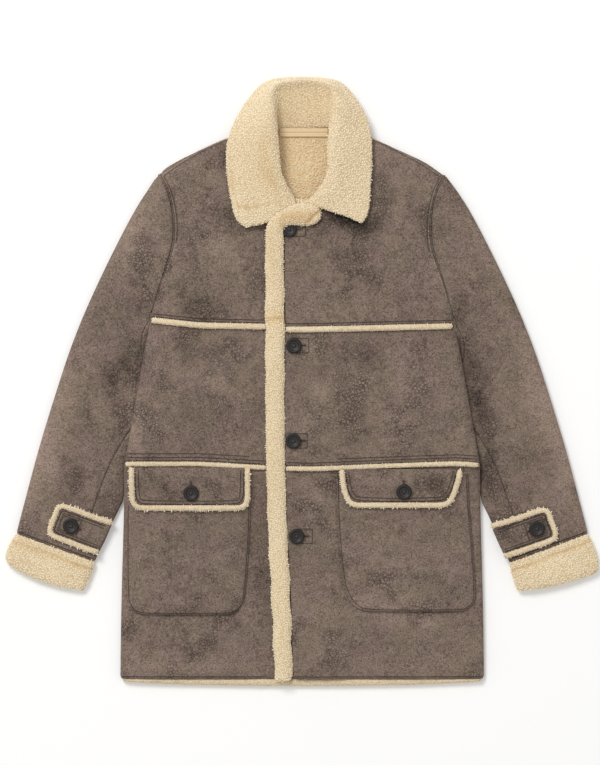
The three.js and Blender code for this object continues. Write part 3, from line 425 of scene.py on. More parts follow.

# %% [markdown]
# ## Folds
# Stiff bonded suede makes few folds, and they are soft. They could be simulated, but a coat laid
# out by hand keeps the folds that it was given: crumples inside the elbows, a dip below each
# shoulder, long slack waves in the fronts. Each fold is a line with its own width and depth, a
# trough where the depth is below zero and a ridge where it is above. The same height is added to
# all that lies on the cloth, so trims and pockets ride on it.

# %% Folds
# Lines that are sewn or rolled, as points in millimetres. The pile parts along them too.
LEAF_LINE = [(-104, 279), (-84, 276), (-65, 279.6), (-47, 286.6), (-28, 295)]
CUFF_LINES = [[(-461, -255), (-335, -300.5)], [(461, -255), (335, -302.5)]]
ROLL_END = [(29, 274), (17, 262), (5, 251)]
FOLDS = [
    # points, half width and height, all in millimetres
    ([(-262, 44), (-290, 12), (-322, -18)], 9, -2.3),
    ([(-264, 18), (-300, -14), (-346, -34)], 8, -1.7),
    ([(-262, 31), (-296, 0), (-334, -26)], 6, 1.3),
    ([(-270, -20), (-312, -40), (-330, -62)], 7, -1.1),
    ([(-300, -66), (-345, -80), (-388, -84)], 11, -1.2),
    ([(-238, 296), (-248, 190), (-264, 84)], 13, -1.9),
    ([(-286, 226), (-302, 150), (-330, 90)], 13, -1.0),
    ([(-258, 250), (-270, 170), (-290, 100)], 8, 1.0),
    ([(-352, -120), (-385, -150), (-398, -190)], 10, 0.9),
    ([(258, 62), (276, 20), (300, -44)], 10, -2.4),
    ([(262, 26), (300, -18), (350, -58)], 8, -1.6),
    ([(268, 46), (298, 6), (332, -34)], 7, 1.3),
    ([(302, 128), (318, 50), (334, -10)], 14, -1.2),
    ([(244, 262), (256, 180), (266, 110)], 13, -1.7),
    ([(292, 196), (306, 150), (334, 110)], 11, -0.9),
    ([(300, -90), (345, -104), (380, -108)], 10, -1.1),
    ([(322, -60), (360, -70), (392, -72)], 9, 0.8),
    ([(-218, 176), (-188, 150), (-140, 118)], 14, -1.0),
    ([(-205, 214), (-160, 212), (-110, 196)], 18, 0.9),
    ([(60, 226), (126, 186), (196, 168)], 13, -1.1),
    ([(104, 246), (132, 222), (158, 196)], 9, -0.8),
    ([(205, 140), (170, 118), (120, 110)], 12, 0.8),
    ([(-236, 66), (-200, 40), (-160, 22)], 12, -1.0),
    ([(-66, -14), (-96, -40), (-130, -58)], 16, -0.8),
    ([(64, 34), (110, 14), (156, -8)], 14, -0.9),
    ([(196, 46), (214, 4), (232, -44)], 12, -1.2),
    ([(-270, -20), (-240, -70), (-236, -110)], 13, -0.9),
    ([(-62, -246), (-52, -330), (-44, -430)], 14, -0.9),
    ([(34, -256), (40, -340), (48, -440)], 12, -0.9),
    ([(-266, -300), (-262, -370), (-258, -450)], 10, -1.1),
    ([(270, -196), (274, -300), (272, -430)], 9, -1.1),
    ([(-240, -214), (-180, -222), (-112, -214)], 12, -1.0),
    ([(-226, -262), (-170, -300), (-120, -330)], 20, 1.0),
    ([(96, -218), (160, -226), (232, -212)], 12, -1.0),
    ([(110, -330), (160, -300), (236, -272)], 20, 1.0),
    ([(120, -408), (180, -392), (240, -402)], 12, -0.7),
    ([(-150, -446), (-60, -438), (20, -446)], 10, 0.7),
    # the pile: the rolled end of the strip, and the sewn lines of the collar leaf and the cuffs
    (ROLL_END, 3.4, -2.8),
    (LEAF_LINE, 2.4, -1.8),
    ([(-46, 318), (-40, 306), (-14, 296)], 5, -1.4),
    *((line, 2.6, -1.5) for line in CUFF_LINES),
]
WAVE_COUNT = 26
WAVE_LENGTHS = (46, 190)  # millimetres
WAVE_STEEPNESS = 0.0011  # height over length
END_SHARE = 0.35  # how much of a stroke's strength is left at its ends
UPPER_SIDE = (5, 13)  # folds grow between these heights, so the side on the floor lies still
rng = np.random.default_rng(11)
wave_lengths = rng.uniform(*WAVE_LENGTHS, WAVE_COUNT)
wave_turns = rng.uniform(0, pi, WAVE_COUNT)
wave_starts = rng.uniform(0, 2 * pi, WAVE_COUNT)


def ease(value, low, high):
    share = np.clip((value - low) / (high - low), 0, 1)
    return share * share * (3 - 2 * share)


def strokes(x, y, lines):
    """The sum at x, y of soft strokes, each a line with its half width and its strength."""
    total = np.zeros_like(x)
    for line, width, strength in lines:
        line = np.array(line, float)
        lengths = np.linalg.norm(np.diff(line, axis=0), axis=1)
        whole, gone = lengths.sum(), 0.0
        best, along = np.full_like(x, 1e9), np.zeros_like(x)
        for start, end, length in zip(line[:-1], line[1:], lengths):
            step = (end - start) / length
            share = np.clip((x - start[0]) * step[0] + (y - start[1]) * step[1], 0, length)
            away = np.hypot(x - start[0] - share * step[0], y - start[1] - share * step[1])
            closer = away < best
            best = np.where(closer, away, best)
            along = np.where(closer, (gone + share) / whole, along)
            gone += length
        ends = END_SHARE + (1 - END_SHARE) * np.sin(pi * along)
        total += strength * np.exp(-((best / width) ** 2)) * ends
    return total


def fold_height(x, y):
    """Millimetres that the cloth stands above or below its solid at x, y, also in millimetres."""
    height = strokes(x, y, FOLDS)
    for length, turn, start in zip(wave_lengths, wave_turns, wave_starts):
        across = x * np.cos(turn) + y * np.sin(turn)
        height += WAVE_STEEPNESS * length * np.sin(across * 2 * pi / length + start)
    return height


def lay_folds(piece):
    points = points_of(piece)
    mm = points / MM
    lift = fold_height(mm[:, 0], mm[:, 1]) * ease(mm[:, 2], *UPPER_SIDE)
    points[:, 2] = np.maximum(points[:, 2] + lift * MM, 0)
    put_points(piece, points)
    return np.abs(lift).max()


highest = max(lay_folds(piece) for piece in [*panels.values(), *piles.values()])
print("folds up to", round(highest, 2), "mm")

# %% [markdown]
# ## Pieces that press on each other
# The solids keep clear of each other, but sewn cloth doesn't: a sleeve lies close along the side
# of the body, and a full forearm bulges against it. A flap comes out from under its bead. The
# shoulders slope with the weight of the sleeves, the ends of the collar close the throat behind
# the roll, and the strip wavers as it was sewn. Points near these places are moved, and each
# move fades out softly.

# %% Sleeves close to the body, flaps up to their beads
SIDE_LINE = [(-30, 265.5), (60, 250), (98, 243)]  # the height on the coat, and the body's side
CUFF_SEAM = (364, -271)  # where the two parts of a sleeve meet at the cuff


def on_line(line, at):
    """What a line of pairs says at a value, straight between its points."""
    return np.interp(at, *np.transpose(line))


def move_points(piece, how):
    """Moves the points by what `how` gives for x, y and z, all in millimetres."""
    points = points_of(piece)
    shift = np.stack(how(*(points / MM).T), axis=1)
    points += shift * MM
    points[:, 2] = np.maximum(points[:, 2], 0)
    put_points(piece, points)
    return float(np.abs(shift).max())


def farthest(pieces, how):
    """Moves the points of some pieces, and returns the longest move."""
    return round(max(move_points(piece, how) for piece in pieces), 1)


def close_sleeve(side, armpit):
    def how(x, y, z):
        out = side * x - on_line(SIDE_LINE, y)
        share = (1 - ease(out, 3, 28)) * ease(y, -25, 10) * (1 - ease(y, armpit - 2, armpit + 12))
        return -side * 7.0 * share, 0 * x, -1.2 * share
    return how


def close_seam(side, along):
    def how(x, y, z):
        away = (x - side * CUFF_SEAM[0]) ** 2 + (y - CUFF_SEAM[1]) ** 2
        share = along * 1.4 * np.exp(-away / 100)
        return -side * 0.92 * share, -0.39 * share, 0 * x
    return how


def raise_top(top, amount, drop):
    def how(x, y, z):
        share = ease(y, top - 14, top)
        return 0 * x, amount * share, -drop * share
    return how


for hand, armpit, top in (("left", 98, -142), ("right", 88, -145)):
    side = HANDS[hand]
    for part in ("top", "under"):
        sleeve = panels[f"sleeve_{hand}_{part}"]
        moved = farthest([sleeve], close_sleeve(side, armpit))
        move_points(sleeve, close_seam(side, 1 if part == "top" else -1))
    move_points(panels["flap_" + hand], raise_top(top, 5.0, 3.4))
    move_points(piles["flap_edge_" + hand], raise_top(top, 4.6, 3.0))
for seam in ("chest", "waist"):
    trim = piles[seam + "_trim_left"]
    move_points(trim, lambda x, y, z: (2.6 * ease(x, -76, -60), 0 * x, 0 * x))
move_points(tape, lambda x, y, z: (0 * x, 3.4 * ease(y, 395, 400), 0.3 + 0 * x))
print("sleeves moved by up to", moved, "mm")

# %% Shoulders
SHOULDER_RISE = [
    # across the coat from the viewer's left, and how far the shoulder's edge rises there
    (-240, 0), (-228, 0), (-221, -2.6), (-208, -3.2), (-187, -0.8), (-163, 1.4),
    (-141, 2.0), (-118, 1.6), (-96, 0), (96, 0), (120, -1.6), (141, -2.7),
    (161, -2.4), (185, -4.0), (207, -7.3), (219, -5.2), (226, 0), (240, 0),
]
SHOULDER_LINE = [
    # the line that no point of the body rises above, from the left sleeve to the right one
    (-229, 330.6), (-218, 340.2), (-203.5, 350.4), (-186, 360.5), (-166.7, 370.1),
    (-146, 379.7), (-125, 389.3), (-110, 420), (104, 420), (114.9, 389.3), (134, 379.7),
    (156.5, 370.1), (177, 360.5), (196.5, 350.4), (211, 339.8), (225.3, 329.5),
]
SHOULDER_EDGE = [  # out from the middle, and where the solid's edge is
    (60, 408), (90, 401), (115, 390), (156, 371), (192, 354), (212, 342), (227, 330),
]


def lower_shoulder(x, y, z):
    edge = on_line(SHOULDER_EDGE, np.abs(x))
    lowered = y + on_line(SHOULDER_RISE, x) * ease(y, edge - 46, edge - 8)
    near_tip = np.exp(-(((np.abs(x) - 223) / 9) ** 2) - ((y - 332) / 9) ** 2)
    out = near_tip * np.where(x < 0, -5.5, 3.0)
    return out, np.minimum(lowered, on_line(SHOULDER_LINE, x + out)) - y, 0 * x


def lift_sleeve_head(x, y, z):
    near = np.exp(-(((x + 236) / 13) ** 2) - ((y - 321) / 13) ** 2)
    return -1.2 * near, 1.0 * near, 0 * x


SHOULDERS = ("back", "front_left_upper", "front_right_upper")
LEFT_SLEEVE = ("sleeve_left_top", "sleeve_left_under")
lowered = farthest([panels[n] for n in SHOULDERS], lower_shoulder)
lifted = farthest([panels[n] for n in LEFT_SLEEVE], lift_sleeve_head)
print("shoulders lowered by up to", lowered, "mm;",
      "left sleeve head lifted by up to", lifted, "mm")

# %% Forearms
INNER_FOLD = [  # by height on the coat, how far out the inner fold of a forearm lies
    (-290, 330), (-255, 316), (-222, 304), (-180, 296), (-140, 288), (-112, 273),
]
BULGE = [  # and how far it bulges in
    (-292, 0), (-272, 1), (-255, 3), (-236, 4.5), (-219, 6),
    (-205, 10), (-190, 13.5), (-170, 11), (-150, 5), (-130, 0),
]


def bulge_in(x, y, z):
    """The forearm is full, so its inner fold presses against the side of the body."""
    from_fold = np.maximum(np.abs(x) - on_line(INNER_FOLD, y), 0)
    return -np.sign(x) * on_line(BULGE, y) * (1 - ease(from_fold, 0, 27)), 0 * x, 0 * x


for hand in HANDS:
    names = [f"sleeve_{hand}_top", f"sleeve_{hand}_under", f"cuff_tab_{hand}"]
    forearm = [*(panels[n] for n in names), piles["cuff_tab_edge_" + hand]]
    print(hand, "forearm bulges by up to", farthest(forearm, bulge_in), "mm")

# %% The throat and the roll
THROAT_TOP = 345  # nothing above this height on the coat is closed
ROLL_MIDDLE, ROLL_HEIGHT = 267.5, 21.4


def near_end(x, y, side, corner, across, length, height):
    """How near points lie to an end of the collar, and how far from the middle along it."""
    out, up = x - corner[0], y - corner[1]
    beyond = np.maximum(out * across[0] + up * across[1], 0)
    along = np.clip(side * out / length * 0.6 - up / height * 0.4, 0, 1)
    return np.exp(-((beyond / 20) ** 2)) * (side * (x + 4) > 0) * (y < THROAT_TOP), along


def close_throat(x, y, z):
    """Both ends of the collar come down to the roll, and meet in the middle."""
    left, left_share = near_end(x, y, -1, (-24, 292), (-0.573, 0.82), 63, 44)
    right, right_share = near_end(x, y, 1, (20, 299), (0.52, 0.854), 74, 45)
    near_left, near_right = 1 - ease(left_share, 0.0, 0.9), 1 - ease(right_share, 0.0, 0.95)
    dx = left * 13 * near_left - right * 12 * near_right
    down = -left * 8.5 * (0.25 + 0.75 * near_left) * ease(left_share + near_left, 0.2, 0.7)
    dy = down - right * (3 + 10 * near_right)
    return dx, dy, -3.2 * (left * near_left + right * near_right)


def widen_leaf(x, y, z):
    """The lower corner of the left leaf is broad, and its edge hangs down to the strip."""
    out = -6.0 * np.exp(-(((y - 262) / 15) ** 2)) * ease(-62 - x, 0, 26)
    down = -(2.5 + 7.0 * ease(x, -90, -60)) * ease(288 - y, 0, 26)
    return out, down * ease(x, -118, -92) * (1 - ease(x, -48, -24)), 0 * x


def waver(x, y, z):
    """The strip was cut and sewn by hand, so it wavers a little."""
    share = 1 - ease(y, 205, 235)
    return share * (0.9 * np.sin(y * 0.094) + 0.6 * np.sin(y * 0.23 + 1)), 0 * x, 0 * x


def plump_roll(x, y, z):
    """The turned end of the strip is a plump roll."""
    share = ease(x, -42, -18) * ease(y, 236, 252)
    low = ease(ROLL_MIDDLE - y, 0, 14) * np.exp(-(((x - 8) / 17) ** 2))
    up = share * ((y - ROLL_MIDDLE) * 0.13 - 3.0 * low)
    return 2.5 * share * ease(x, 12, 26), up, share * (z - ROLL_HEIGHT) * 0.16


collar, strip = [piles["collar"]], [piles["front_strip"]]
print("throat closed by up to", farthest(collar, close_throat), "mm,",
      "leaf widened by up to", farthest(collar, widen_leaf), "mm,",
      "strip wavered by up to", farthest(strip, waver), "mm,",
      "roll grown by up to", farthest(strip, plump_roll), "mm")

# %% [markdown]
# ## Painted light and shade on the nap, and its wear
# Suede isn't one brown. Strokes like those of the folds give each point of the cloth a value,
# from dark below zero to pale above, which the finish reads. The suede is painted paler, as light,
# along the outside of the sleeves, the hem and a few places on the fronts, and darker, as shade,
# inside the elbows, along the inner sides of the sleeves, under the collar leaf and beside the
# strip. Where the value is dark the suede also crackles with wear.

# %% The wash
# Painted light where the strength is above zero, painted shade where it is below; dark places also
# crackle with wear.
PAINTED_LIGHT_AND_WEAR = [
    # points and half width in millimetres, and the strength
    ([(-222, 318), (-262, 262), (-300, 196)], 26, 0.42),
    ([(-368, 40), (-398, -50), (-428, -150), (-448, -226)], 26, 0.50),
    ([(270, 250), (300, 200), (330, 138)], 20, 0.30),
    ([(352, 60), (392, -40), (424, -130), (444, -214)], 28, 0.48),
    ([(-254, 62), (-260, 24), (-268, -4)], 12, -0.45),
    ([(-274, 60), (-284, 34), (-280, 8)], 13, -0.42),
    ([(-296, 30), (-308, 0), (-304, -34)], 16, -0.42),
    ([(-262, -50), (-268, -90), (-262, -124)], 13, 0.32),
    ([(-192, 70), (-182, 40), (-178, 12)], 18, -0.36),
    ([(252, 152), (256, 132), (262, 112)], 13, -0.42),
    ([(292, -84), (300, -106), (304, -130)], 13, -0.42),
    ([(8, -160), (14, -182), (20, -206)], 14, 0.32),
    ([(90, 30), (98, 14), (104, -4)], 16, 0.3),
    ([(230, -142), (250, -150), (262, -160)], 14, -0.25),
    ([(252, 96), (264, 50), (280, 4), (292, -46), (300, -84)], 18, -0.42),
    ([(270, -16), (284, -42), (286, -62)], 11, -0.42),
    ([(280, -120), (300, -160), (304, -210)], 18, -0.35),
    ([(-186, 150), (-180, 122), (-150, 108)], 22, -0.35),
    ([(-140, 300), (-128, 262), (-100, 246)], 18, -0.35),
    ([(-170, 60), (-150, 48), (-130, 44)], 16, -0.25),
    ([(24, 278), (66, 262), (104, 246), (128, 262)], 15, -0.9),
    ([(20, 258), (30, 240), (20, 226)], 12, -0.3),
    ([(84, 60), (100, 44), (110, 30)], 18, -0.4),
    ([(0, 66), (14, 52), (24, 40)], 14, 0.4),
    ([(20, 0), (30, -20), (40, -40)], 16, 0.35),
    ([(-70, -200), (-64, -300), (-56, -440)], 12, -0.12),
    ([(196, -150), (214, -164), (224, -178)], 14, -0.4),
    ([(-230, -160), (-214, -176), (-200, -186)], 14, -0.4),
    ([(60, -350), (140, -372), (240, -380)], 26, 0.35),
    ([(30, -440), (120, -462), (280, -460)], 14, 0.15),
    ([(-280, -460), (-160, -462), (-80, -452)], 18, 0.3),
    ([(-200, 30), (-150, 0), (-120, -10)], 26, 0.35),
    ([(-150, 232), (-110, 200), (-90, 150)], 30, 0.2),
]


def give_points(piece, name, values):
    """A number on each point of the piece, for its finish to read."""
    data = piece.data.attributes.new(name, "FLOAT", "POINT").data
    data.foreach_set("value", values.astype(np.float32))


# Painted light and shade, with wear, as a value on each point.
def put_painted_light_and_wear(piece):
    x, y, _ = (points_of(piece) / MM).T
    painted_light_and_wear = np.clip(strokes(x, y, PAINTED_LIGHT_AND_WEAR), -1.3, 1.3)
    give_points(piece, "painted_light_and_wear", painted_light_and_wear)
    return round(float(painted_light_and_wear.mean()), 2)


means = [put_painted_light_and_wear(piece) for piece in panels.values()]
print("wash:", [min(means), max(means)])

# %% [markdown]
# ## The inside of the cloth
# The cloth has two faces: suede outside, pile inside. A second coat of finish on the faces that
# look into the coat is enough where nobody sees them, and real curls are added in the neck.

# %% Pile on the faces that look inwards
def faces_of(piece):
    """The middles, in millimetres, and the normals of the faces."""
    centres, normals = np.empty((2, len(piece.data.polygons) * 3))
    piece.data.polygons.foreach_get("center", centres)
    piece.data.polygons.foreach_get("normal", normals)
    return centres.reshape(-1, 3) / MM, normals.reshape(-1, 3)


def line_with_pile(piece, inward_up=False):
    """The second finish of the piece, on the faces that look into the coat."""
    piece.data.materials.append(pile_root)
    centres, normals = faces_of(piece)
    height, up = centres[:, 2], normals[:, 2]
    inside = (up > 0.5) & (height > 3) if inward_up else (up < -0.5) & (height > 5)
    piece.data.polygons.foreach_set("material_index", inside.astype(int))
    return int(inside.sum())


lined = line_with_pile(panels["back"], True)
lined += sum(line_with_pile(panels[n]) for n in panels if n.startswith("front_"))
print("faces lined with pile:", lined)

# %% [markdown]
# ## Curls
# Sherpa pile is thousands of short curls of wool, each a bent, blunt tuft. Hair particles could
# make it, but they don't leave Blender as a mesh. So three curls are modelled once, with forty
# small faces each: a hump, a hook and an S. Copies are strewn over each pile piece at least a
# set distance apart, turned at random, and joined. Along an edge some of them point outwards,
# which gives the jagged outline of cut sheepskin.

# %% Three curls and a tuft
def corners_of(piece):
    """The three points of each triangle of a piece."""
    piece.data.calc_loop_triangles()
    corners = np.empty(len(piece.data.loop_triangles) * 3, int)
    piece.data.loop_triangles.foreach_get("vertices", corners)
    return corners.reshape(-1, 3)


def model_curl(thickness, bends, sides=5, rings=5):
    """A rounded rod along x, one unit long, whose ends are bent. It returns points and faces."""
    bpy.ops.object.select_all(action="DESELECT")
    bpy.ops.mesh.primitive_uv_sphere_add(segments=sides, ring_count=rings, radius=0.5)
    curl = bpy.context.object
    bpy.ops.object.mode_set(mode="EDIT")
    bpy.ops.mesh.select_all(action="SELECT")
    bpy.ops.transform.rotate(value=pi / 2, orient_axis="Y", center_override=(0, 0, 0))
    bpy.ops.transform.resize(value=(1, thickness, thickness), center_override=(0, 0, 0))
    bpy.ops.object.mode_set(mode="OBJECT")
    for low, high, shift in bends:
        edit_points(curl, np.array([low < point.co.x < high for point in curl.data.vertices]))
        bpy.ops.transform.translate(value=shift)
        bpy.ops.object.mode_set(mode="OBJECT")
    triangles, points = corners_of(curl), points_of(curl)
    bpy.data.objects.remove(curl)
    # The faces come in another order each run, so each starts at its lowest corner, and they
    # are sorted.
    turns = (triangles.argmin(axis=1)[:, None] + np.arange(3)) % 3
    triangles = np.take_along_axis(triangles, turns, axis=1)
    return points, triangles[np.lexsort(triangles.T)]


HUMP = model_curl(0.50, [(0.3, 0.6, (-0.04, 0.04, -0.15)), (-0.6, -0.3, (0.04, 0.0, -0.15))])
HOOK = model_curl(0.46, [(0.3, 0.6, (-0.10, 0.20, -0.06)), (-0.6, -0.3, (0.10, 0.20, -0.03))])
WAVE = model_curl(0.44, [(0.3, 0.6, (-0.05, 0.17, 0.02)), (-0.6, -0.3, (0.05, -0.17, -0.10))])
TUFT = model_curl(0.42, [(0.3, 0.6, (0.16, 0.05, 0.0)), (-0.6, -0.3, (0.0, 0.04, 0.0))])
print("faces of a curl:", len(HUMP[1]))

# %% Strewing them
TRIES = 3  # places tried for each seat that would fit
RAY_START, ROOM = 0.0005, 0.0024  # metres above a seat that have to be free of cloth


def every_face(pieces):
    """One tree of the faces of many pieces, for rays, and whose each face is."""
    points, faces, owners, first = [], [], [], 0
    for piece in pieces:
        points.append(points_of(piece))
        faces.append(corners_of(piece) + first)
        owners += [piece.name] * len(faces[-1])
        first += len(points[-1])
    return BVHTree.FromPolygons(np.vstack(points).tolist(), np.vstack(faces).tolist()), owners


def seats_on(piece, spacing, seed, keep=None):
    """Places on a piece and their outward directions, at least `spacing` millimetres apart."""
    rng = np.random.default_rng(seed)
    a, b, c = np.moveaxis(points_of(piece)[corners_of(piece)], 1, 0)
    cross = np.cross(b - a, c - a)
    double = np.linalg.norm(cross, axis=1)
    tries = int(double.sum() / 2 / (spacing * MM) ** 2 * TRIES)
    pick = rng.choice(len(double), tries, p=double / double.sum())
    u, v = rng.random((2, tries, 1))
    u, v = np.where(u + v > 1, 1 - u, u), np.where(u + v > 1, 1 - v, v)
    places = a[pick] + u * (b - a)[pick] + v * (c - a)[pick]
    outward = cross[pick] / double[pick, None]
    if keep is not None:
        kept = keep(places / MM, outward)
        places, outward = places[kept], outward[kept]
    tree = kdtree.KDTree(len(places))
    for i, place in enumerate(places):
        tree.insert(place, i)
    tree.balance()
    taken, seats = np.zeros(len(places), bool), []
    for i, (place, way) in enumerate(zip(places, outward)):
        if taken[i]:
            continue
        taken[[j for _, j, _ in tree.find_range(place, spacing * MM)]] = True
        if surface.ray_cast(Vector(place + way * RAY_START), Vector(way), ROOM)[0] is None:
            seats.append(i)
    return places[seats], outward[seats]


def mesh_piece(name, points, triangles, finish, values=None, value_name="curl"):
    """A piece of triangles, with a value on its points where some are given."""
    mesh = bpy.data.meshes.new(name)
    mesh.vertices.add(len(points))
    mesh.vertices.foreach_set("co", np.ascontiguousarray(points).ravel())
    mesh.loops.add(triangles.size)
    corners = np.ascontiguousarray(triangles).ravel().astype(np.int32)
    mesh.loops.foreach_set("vertex_index", corners)
    mesh.polygons.add(len(triangles))
    mesh.polygons.foreach_set("loop_start", np.arange(0, triangles.size, 3, dtype=np.int32))
    mesh.update(calc_edges=True)
    mesh.shade_smooth()
    mesh.materials.append(finish)
    piece = bpy.data.objects.new(name, mesh)
    scene.collection.objects.link(piece)
    if values is not None:
        give_points(piece, value_name, values)
    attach(piece, "root")
    return piece


def unit(ways):
    return ways / np.linalg.norm(ways, axis=1)[:, None]


def grow(name, seats, finish, seed, length=(4.4, 6.4), tufts=0.0, lift=0.2, ragged=1.0):
    """Curls on the seats. `tufts` is the share of those at the rim that point outwards, and
    `ragged` lengthens the ones that point away from the middle of the piece."""
    places, outward = seats
    rng = np.random.default_rng(seed)
    count = len(places)
    side = unit(np.cross(outward, rng.normal(size=(count, 3))))
    at_rim = np.abs(outward[:, 2]) < 0.62
    tuft = at_rim & (rng.random(count) < tufts)
    lean = rng.normal(size=(count, 3)) * 0.34
    lying = side + outward * rng.normal(size=(count, 1)) * 0.22
    along = unit(np.where(tuft[:, None], outward + lean, lying))
    across = unit(np.cross(np.where(tuft[:, None], (0.0, 0.0, 1.0), outward), along))
    upward = np.cross(along, across)
    sizes = rng.uniform(*length, count) * MM
    from_middle = (places - places.mean(axis=0))[:, :2]
    outer = np.einsum("pc,pc->p", outward[:, :2], from_middle) > 0
    sizes *= np.where(tuft & outer, 1 + (ragged - 1) * rng.random(count), 1)
    kind = np.where(tuft, 3, rng.integers(0, 3, count))
    shade = rng.random(count)
    x, y, _ = (places / MM).T
    parted = np.clip(parting_at(x, y, 2.2), 0, 1) * 0.7
    points, triangles, values, first = [], [], [], 0
    for number, (shape, faces) in enumerate((HUMP, HOOK, WAVE, TUFT)):
        here = np.flatnonzero(kind == number)
        axes = np.stack([along[here], across[here], upward[here]], axis=1)
        body = np.einsum("pk,nkc->npc", shape, axes) * sizes[here, None, None]
        body += (places[here] + outward[here] * lift * MM)[:, None, :]
        points.append(body.reshape(-1, 3))
        shift = first + np.arange(len(here))[:, None, None] * len(shape)
        triangles.append((faces[None] + shift).reshape(-1, 3))
        # each curl is painted paler on top and darker low down, as light and shade
        height = np.clip((shape[:, 2] + 0.3) / 0.5, 0, 1)
        values.append((0.55 * height[None] + 0.45 * shade[here, None] - parted[here, None]).ravel())
        first += len(here) * len(shape)
    points = np.vstack(points)
    points[:, 2] = np.maximum(points[:, 2], 0)
    return mesh_piece(name, points, np.vstack(triangles), finish, np.concatenate(values))


surface, owners = every_face([*panels.values(), *piles.values()])
print("faces to grow among:", len(owners))

# %% [markdown]
# Where a seam or a sewn line crosses the pile, the curls part and its roots show as a thin line.

# %% The collar, the cuffs and the front edge
PARTINGS = [LEAF_LINE, *CUFF_LINES, [(-58, 101), (-28, 100)], ROLL_END]


def parting_at(x, y, width):
    """One or more on a parting, and less beside it."""
    return strokes(x, y, [(line, width, 1 / END_SHARE) for line in PARTINGS])


def not_parted(places, outward):
    """True off the partings, and on the faces that look sideways or down."""
    return (parting_at(places[:, 0], places[:, 1], 1.25) < 0.3) | (outward[:, 2] < 0.2)


curls = {}


def curl_piece(node, spacing, seed, finish=pile_curl, keep=not_parted, **how):
    seats = seats_on(piles[node], spacing, seed, keep)
    curls[node] = grow(node + "_curls", seats, finish, seed + 1, **how)


curl_piece("collar", 3.2, 21, tufts=0.12, length=(3.6, 5.0))
for node, seed in (("cuff_left", 31), ("cuff_right", 33)):
    curl_piece(node, 3.0, seed, tufts=0.1, length=(3.6, 5.0))
curl_piece("front_strip", 2.8, 41, tufts=0.35, length=(3.2, 4.6))
print({name: len(piece.data.polygons) for name, piece in curls.items()})

# %% [markdown]
# The stand of the collar, the fold beside the neck and the hollow of the roll get painted shade:
# a value on the points says how much, and the finish multiplies its colour by a darker,
# orange-brown tint by that share. The same value darkens the sewn lines where the pile parts.

# %% Painted shade on the pile
STAND_Y = [296, 317, 341, 367, 395, 418, 438, 455, 468]
STAND_LEFT = [-18, -29, -35, -38, -41, -44, -46, -46, -40]
STAND_RIGHT = [14, 32, 41, 41, 44, 47, 51, 52, 44]
SHADED_HOLLOWS = [
    ([(-60, 392), (-62, 360), (-60, 334), (-48, 312), (-30, 300)], 13, 0.40),
    ([(-50, 346), (-52, 326), (-42, 310)], 8, 0.35),
    ([(-116, 340), (-115, 318), (-112, 300)], 7, 0.5),
    ([(-30, 261), (-12, 261), (8, 261), (22, 266)], 9, 0.8),
    ([(-36, 240), (-34, 254), (-24, 266)], 6, 0.6),
    ([(-52, 250), (-50, 200), (-49, 150)], 8, 0.4),
]


# Painted shade on the collar's stand and in its hollows, and darker sewn lines where the pile
# parts.
def painted_shade_and_seams_at(x, y):
    left, right = np.interp(y, STAND_Y, STAND_LEFT), np.interp(y, STAND_Y, STAND_RIGHT)
    between = ease(x, left - 3, left + 5) * (1 - ease(x, right - 5, right + 3))
    stand = between * (1 - ease(y, 462, 480)) * (y > 290)
    seams = np.clip(parting_at(x, y, 1.7), 0, 1)
    return np.clip(0.32 * stand + strokes(x, y, SHADED_HOLLOWS) + 0.75 * seams, 0, 1)


for name in FINER:
    for piece in (curls[name], piles[name]):
        x, y, _ = (points_of(piece) / MM).T
        shade_and_seams = painted_shade_and_seams_at(x, y)
        give_points(piece, "painted_shade_and_seams", shade_and_seams)
print("warmth of the right cuff, at most:", round(float(shade_and_seams.max()), 2))

# %% Trims and edges
TRIM = {"finish": pile_trim, "length": (2.5, 3.7), "lift": 0.0}
for number, node in enumerate(n for n in PILE_NODES if n not in curls):
    ragged, tufts = (1.9, 0.55) if "_edge_" in node else (1.0, 0.15)
    curl_piece(node, 2.5, 51 + 2 * number, tufts=tufts, ragged=ragged, **TRIM)
print("curl faces in all:", face_count(curls.values()))

# %% Pile inside the neck
RAYS_OUT = [(0, 0, 1), (0.4, 0, 1), (-0.4, 0, 1), (0, 0.4, 1), (0, -0.4, 1)]
RAY_LIFT = Vector((0, 0, 0.0006))


def in_neck(places, outward):
    """True inside the neck, where a ray upwards or aslant leaves the coat."""
    x, y, z = places.T
    seen = (outward[:, 2] > 0.6) & (z > 3) & (np.abs(x) < 72) & (y > 250)
    for i in np.flatnonzero(seen):
        start = Vector(places[i] * MM) + RAY_LIFT
        seen[i] = any(surface.ray_cast(start, Vector(way))[0] is None for way in RAYS_OUT)
    return seen


seats = seats_on(panels["back"], 3.3, 91, in_neck)
# the curls inside the neck take the darker finish, as painted shade
curls["back"] = grow("neck_lining_curls", seats, shaded_pile_curls, 92)
print("neck curls:", len(seats[0]))

# %% Pile in the throat
def in_throat(places, outward):
    x, y, _ = places.T
    return (outward[:, 2] > 0.3) & (np.abs(x - 3) < 26) & (y > 276) & (y < 304)


def show_pile(piece, wanted):
    """Gives the second finish, the pile, to the faces whose middles are wanted."""
    index = np.empty(len(piece.data.polygons), int)
    piece.data.polygons.foreach_get("material_index", index)
    index[wanted(*faces_of(piece))] = 1
    piece.data.polygons.foreach_set("material_index", index)


for number, hand in enumerate(HANDS):
    panel = panels[f"front_{hand}_upper"]
    show_pile(panel, in_throat)
    seats = seats_on(panel, 2.6, 95 + number, in_throat)
    if len(seats[0]):
        name = f"throat_{hand}_curls"
        curls["throat_" + hand] = grow(name, seats, pile_curl, 97 + number, length=(4.0, 5.6))
    print("throat curls:", len(seats[0]))

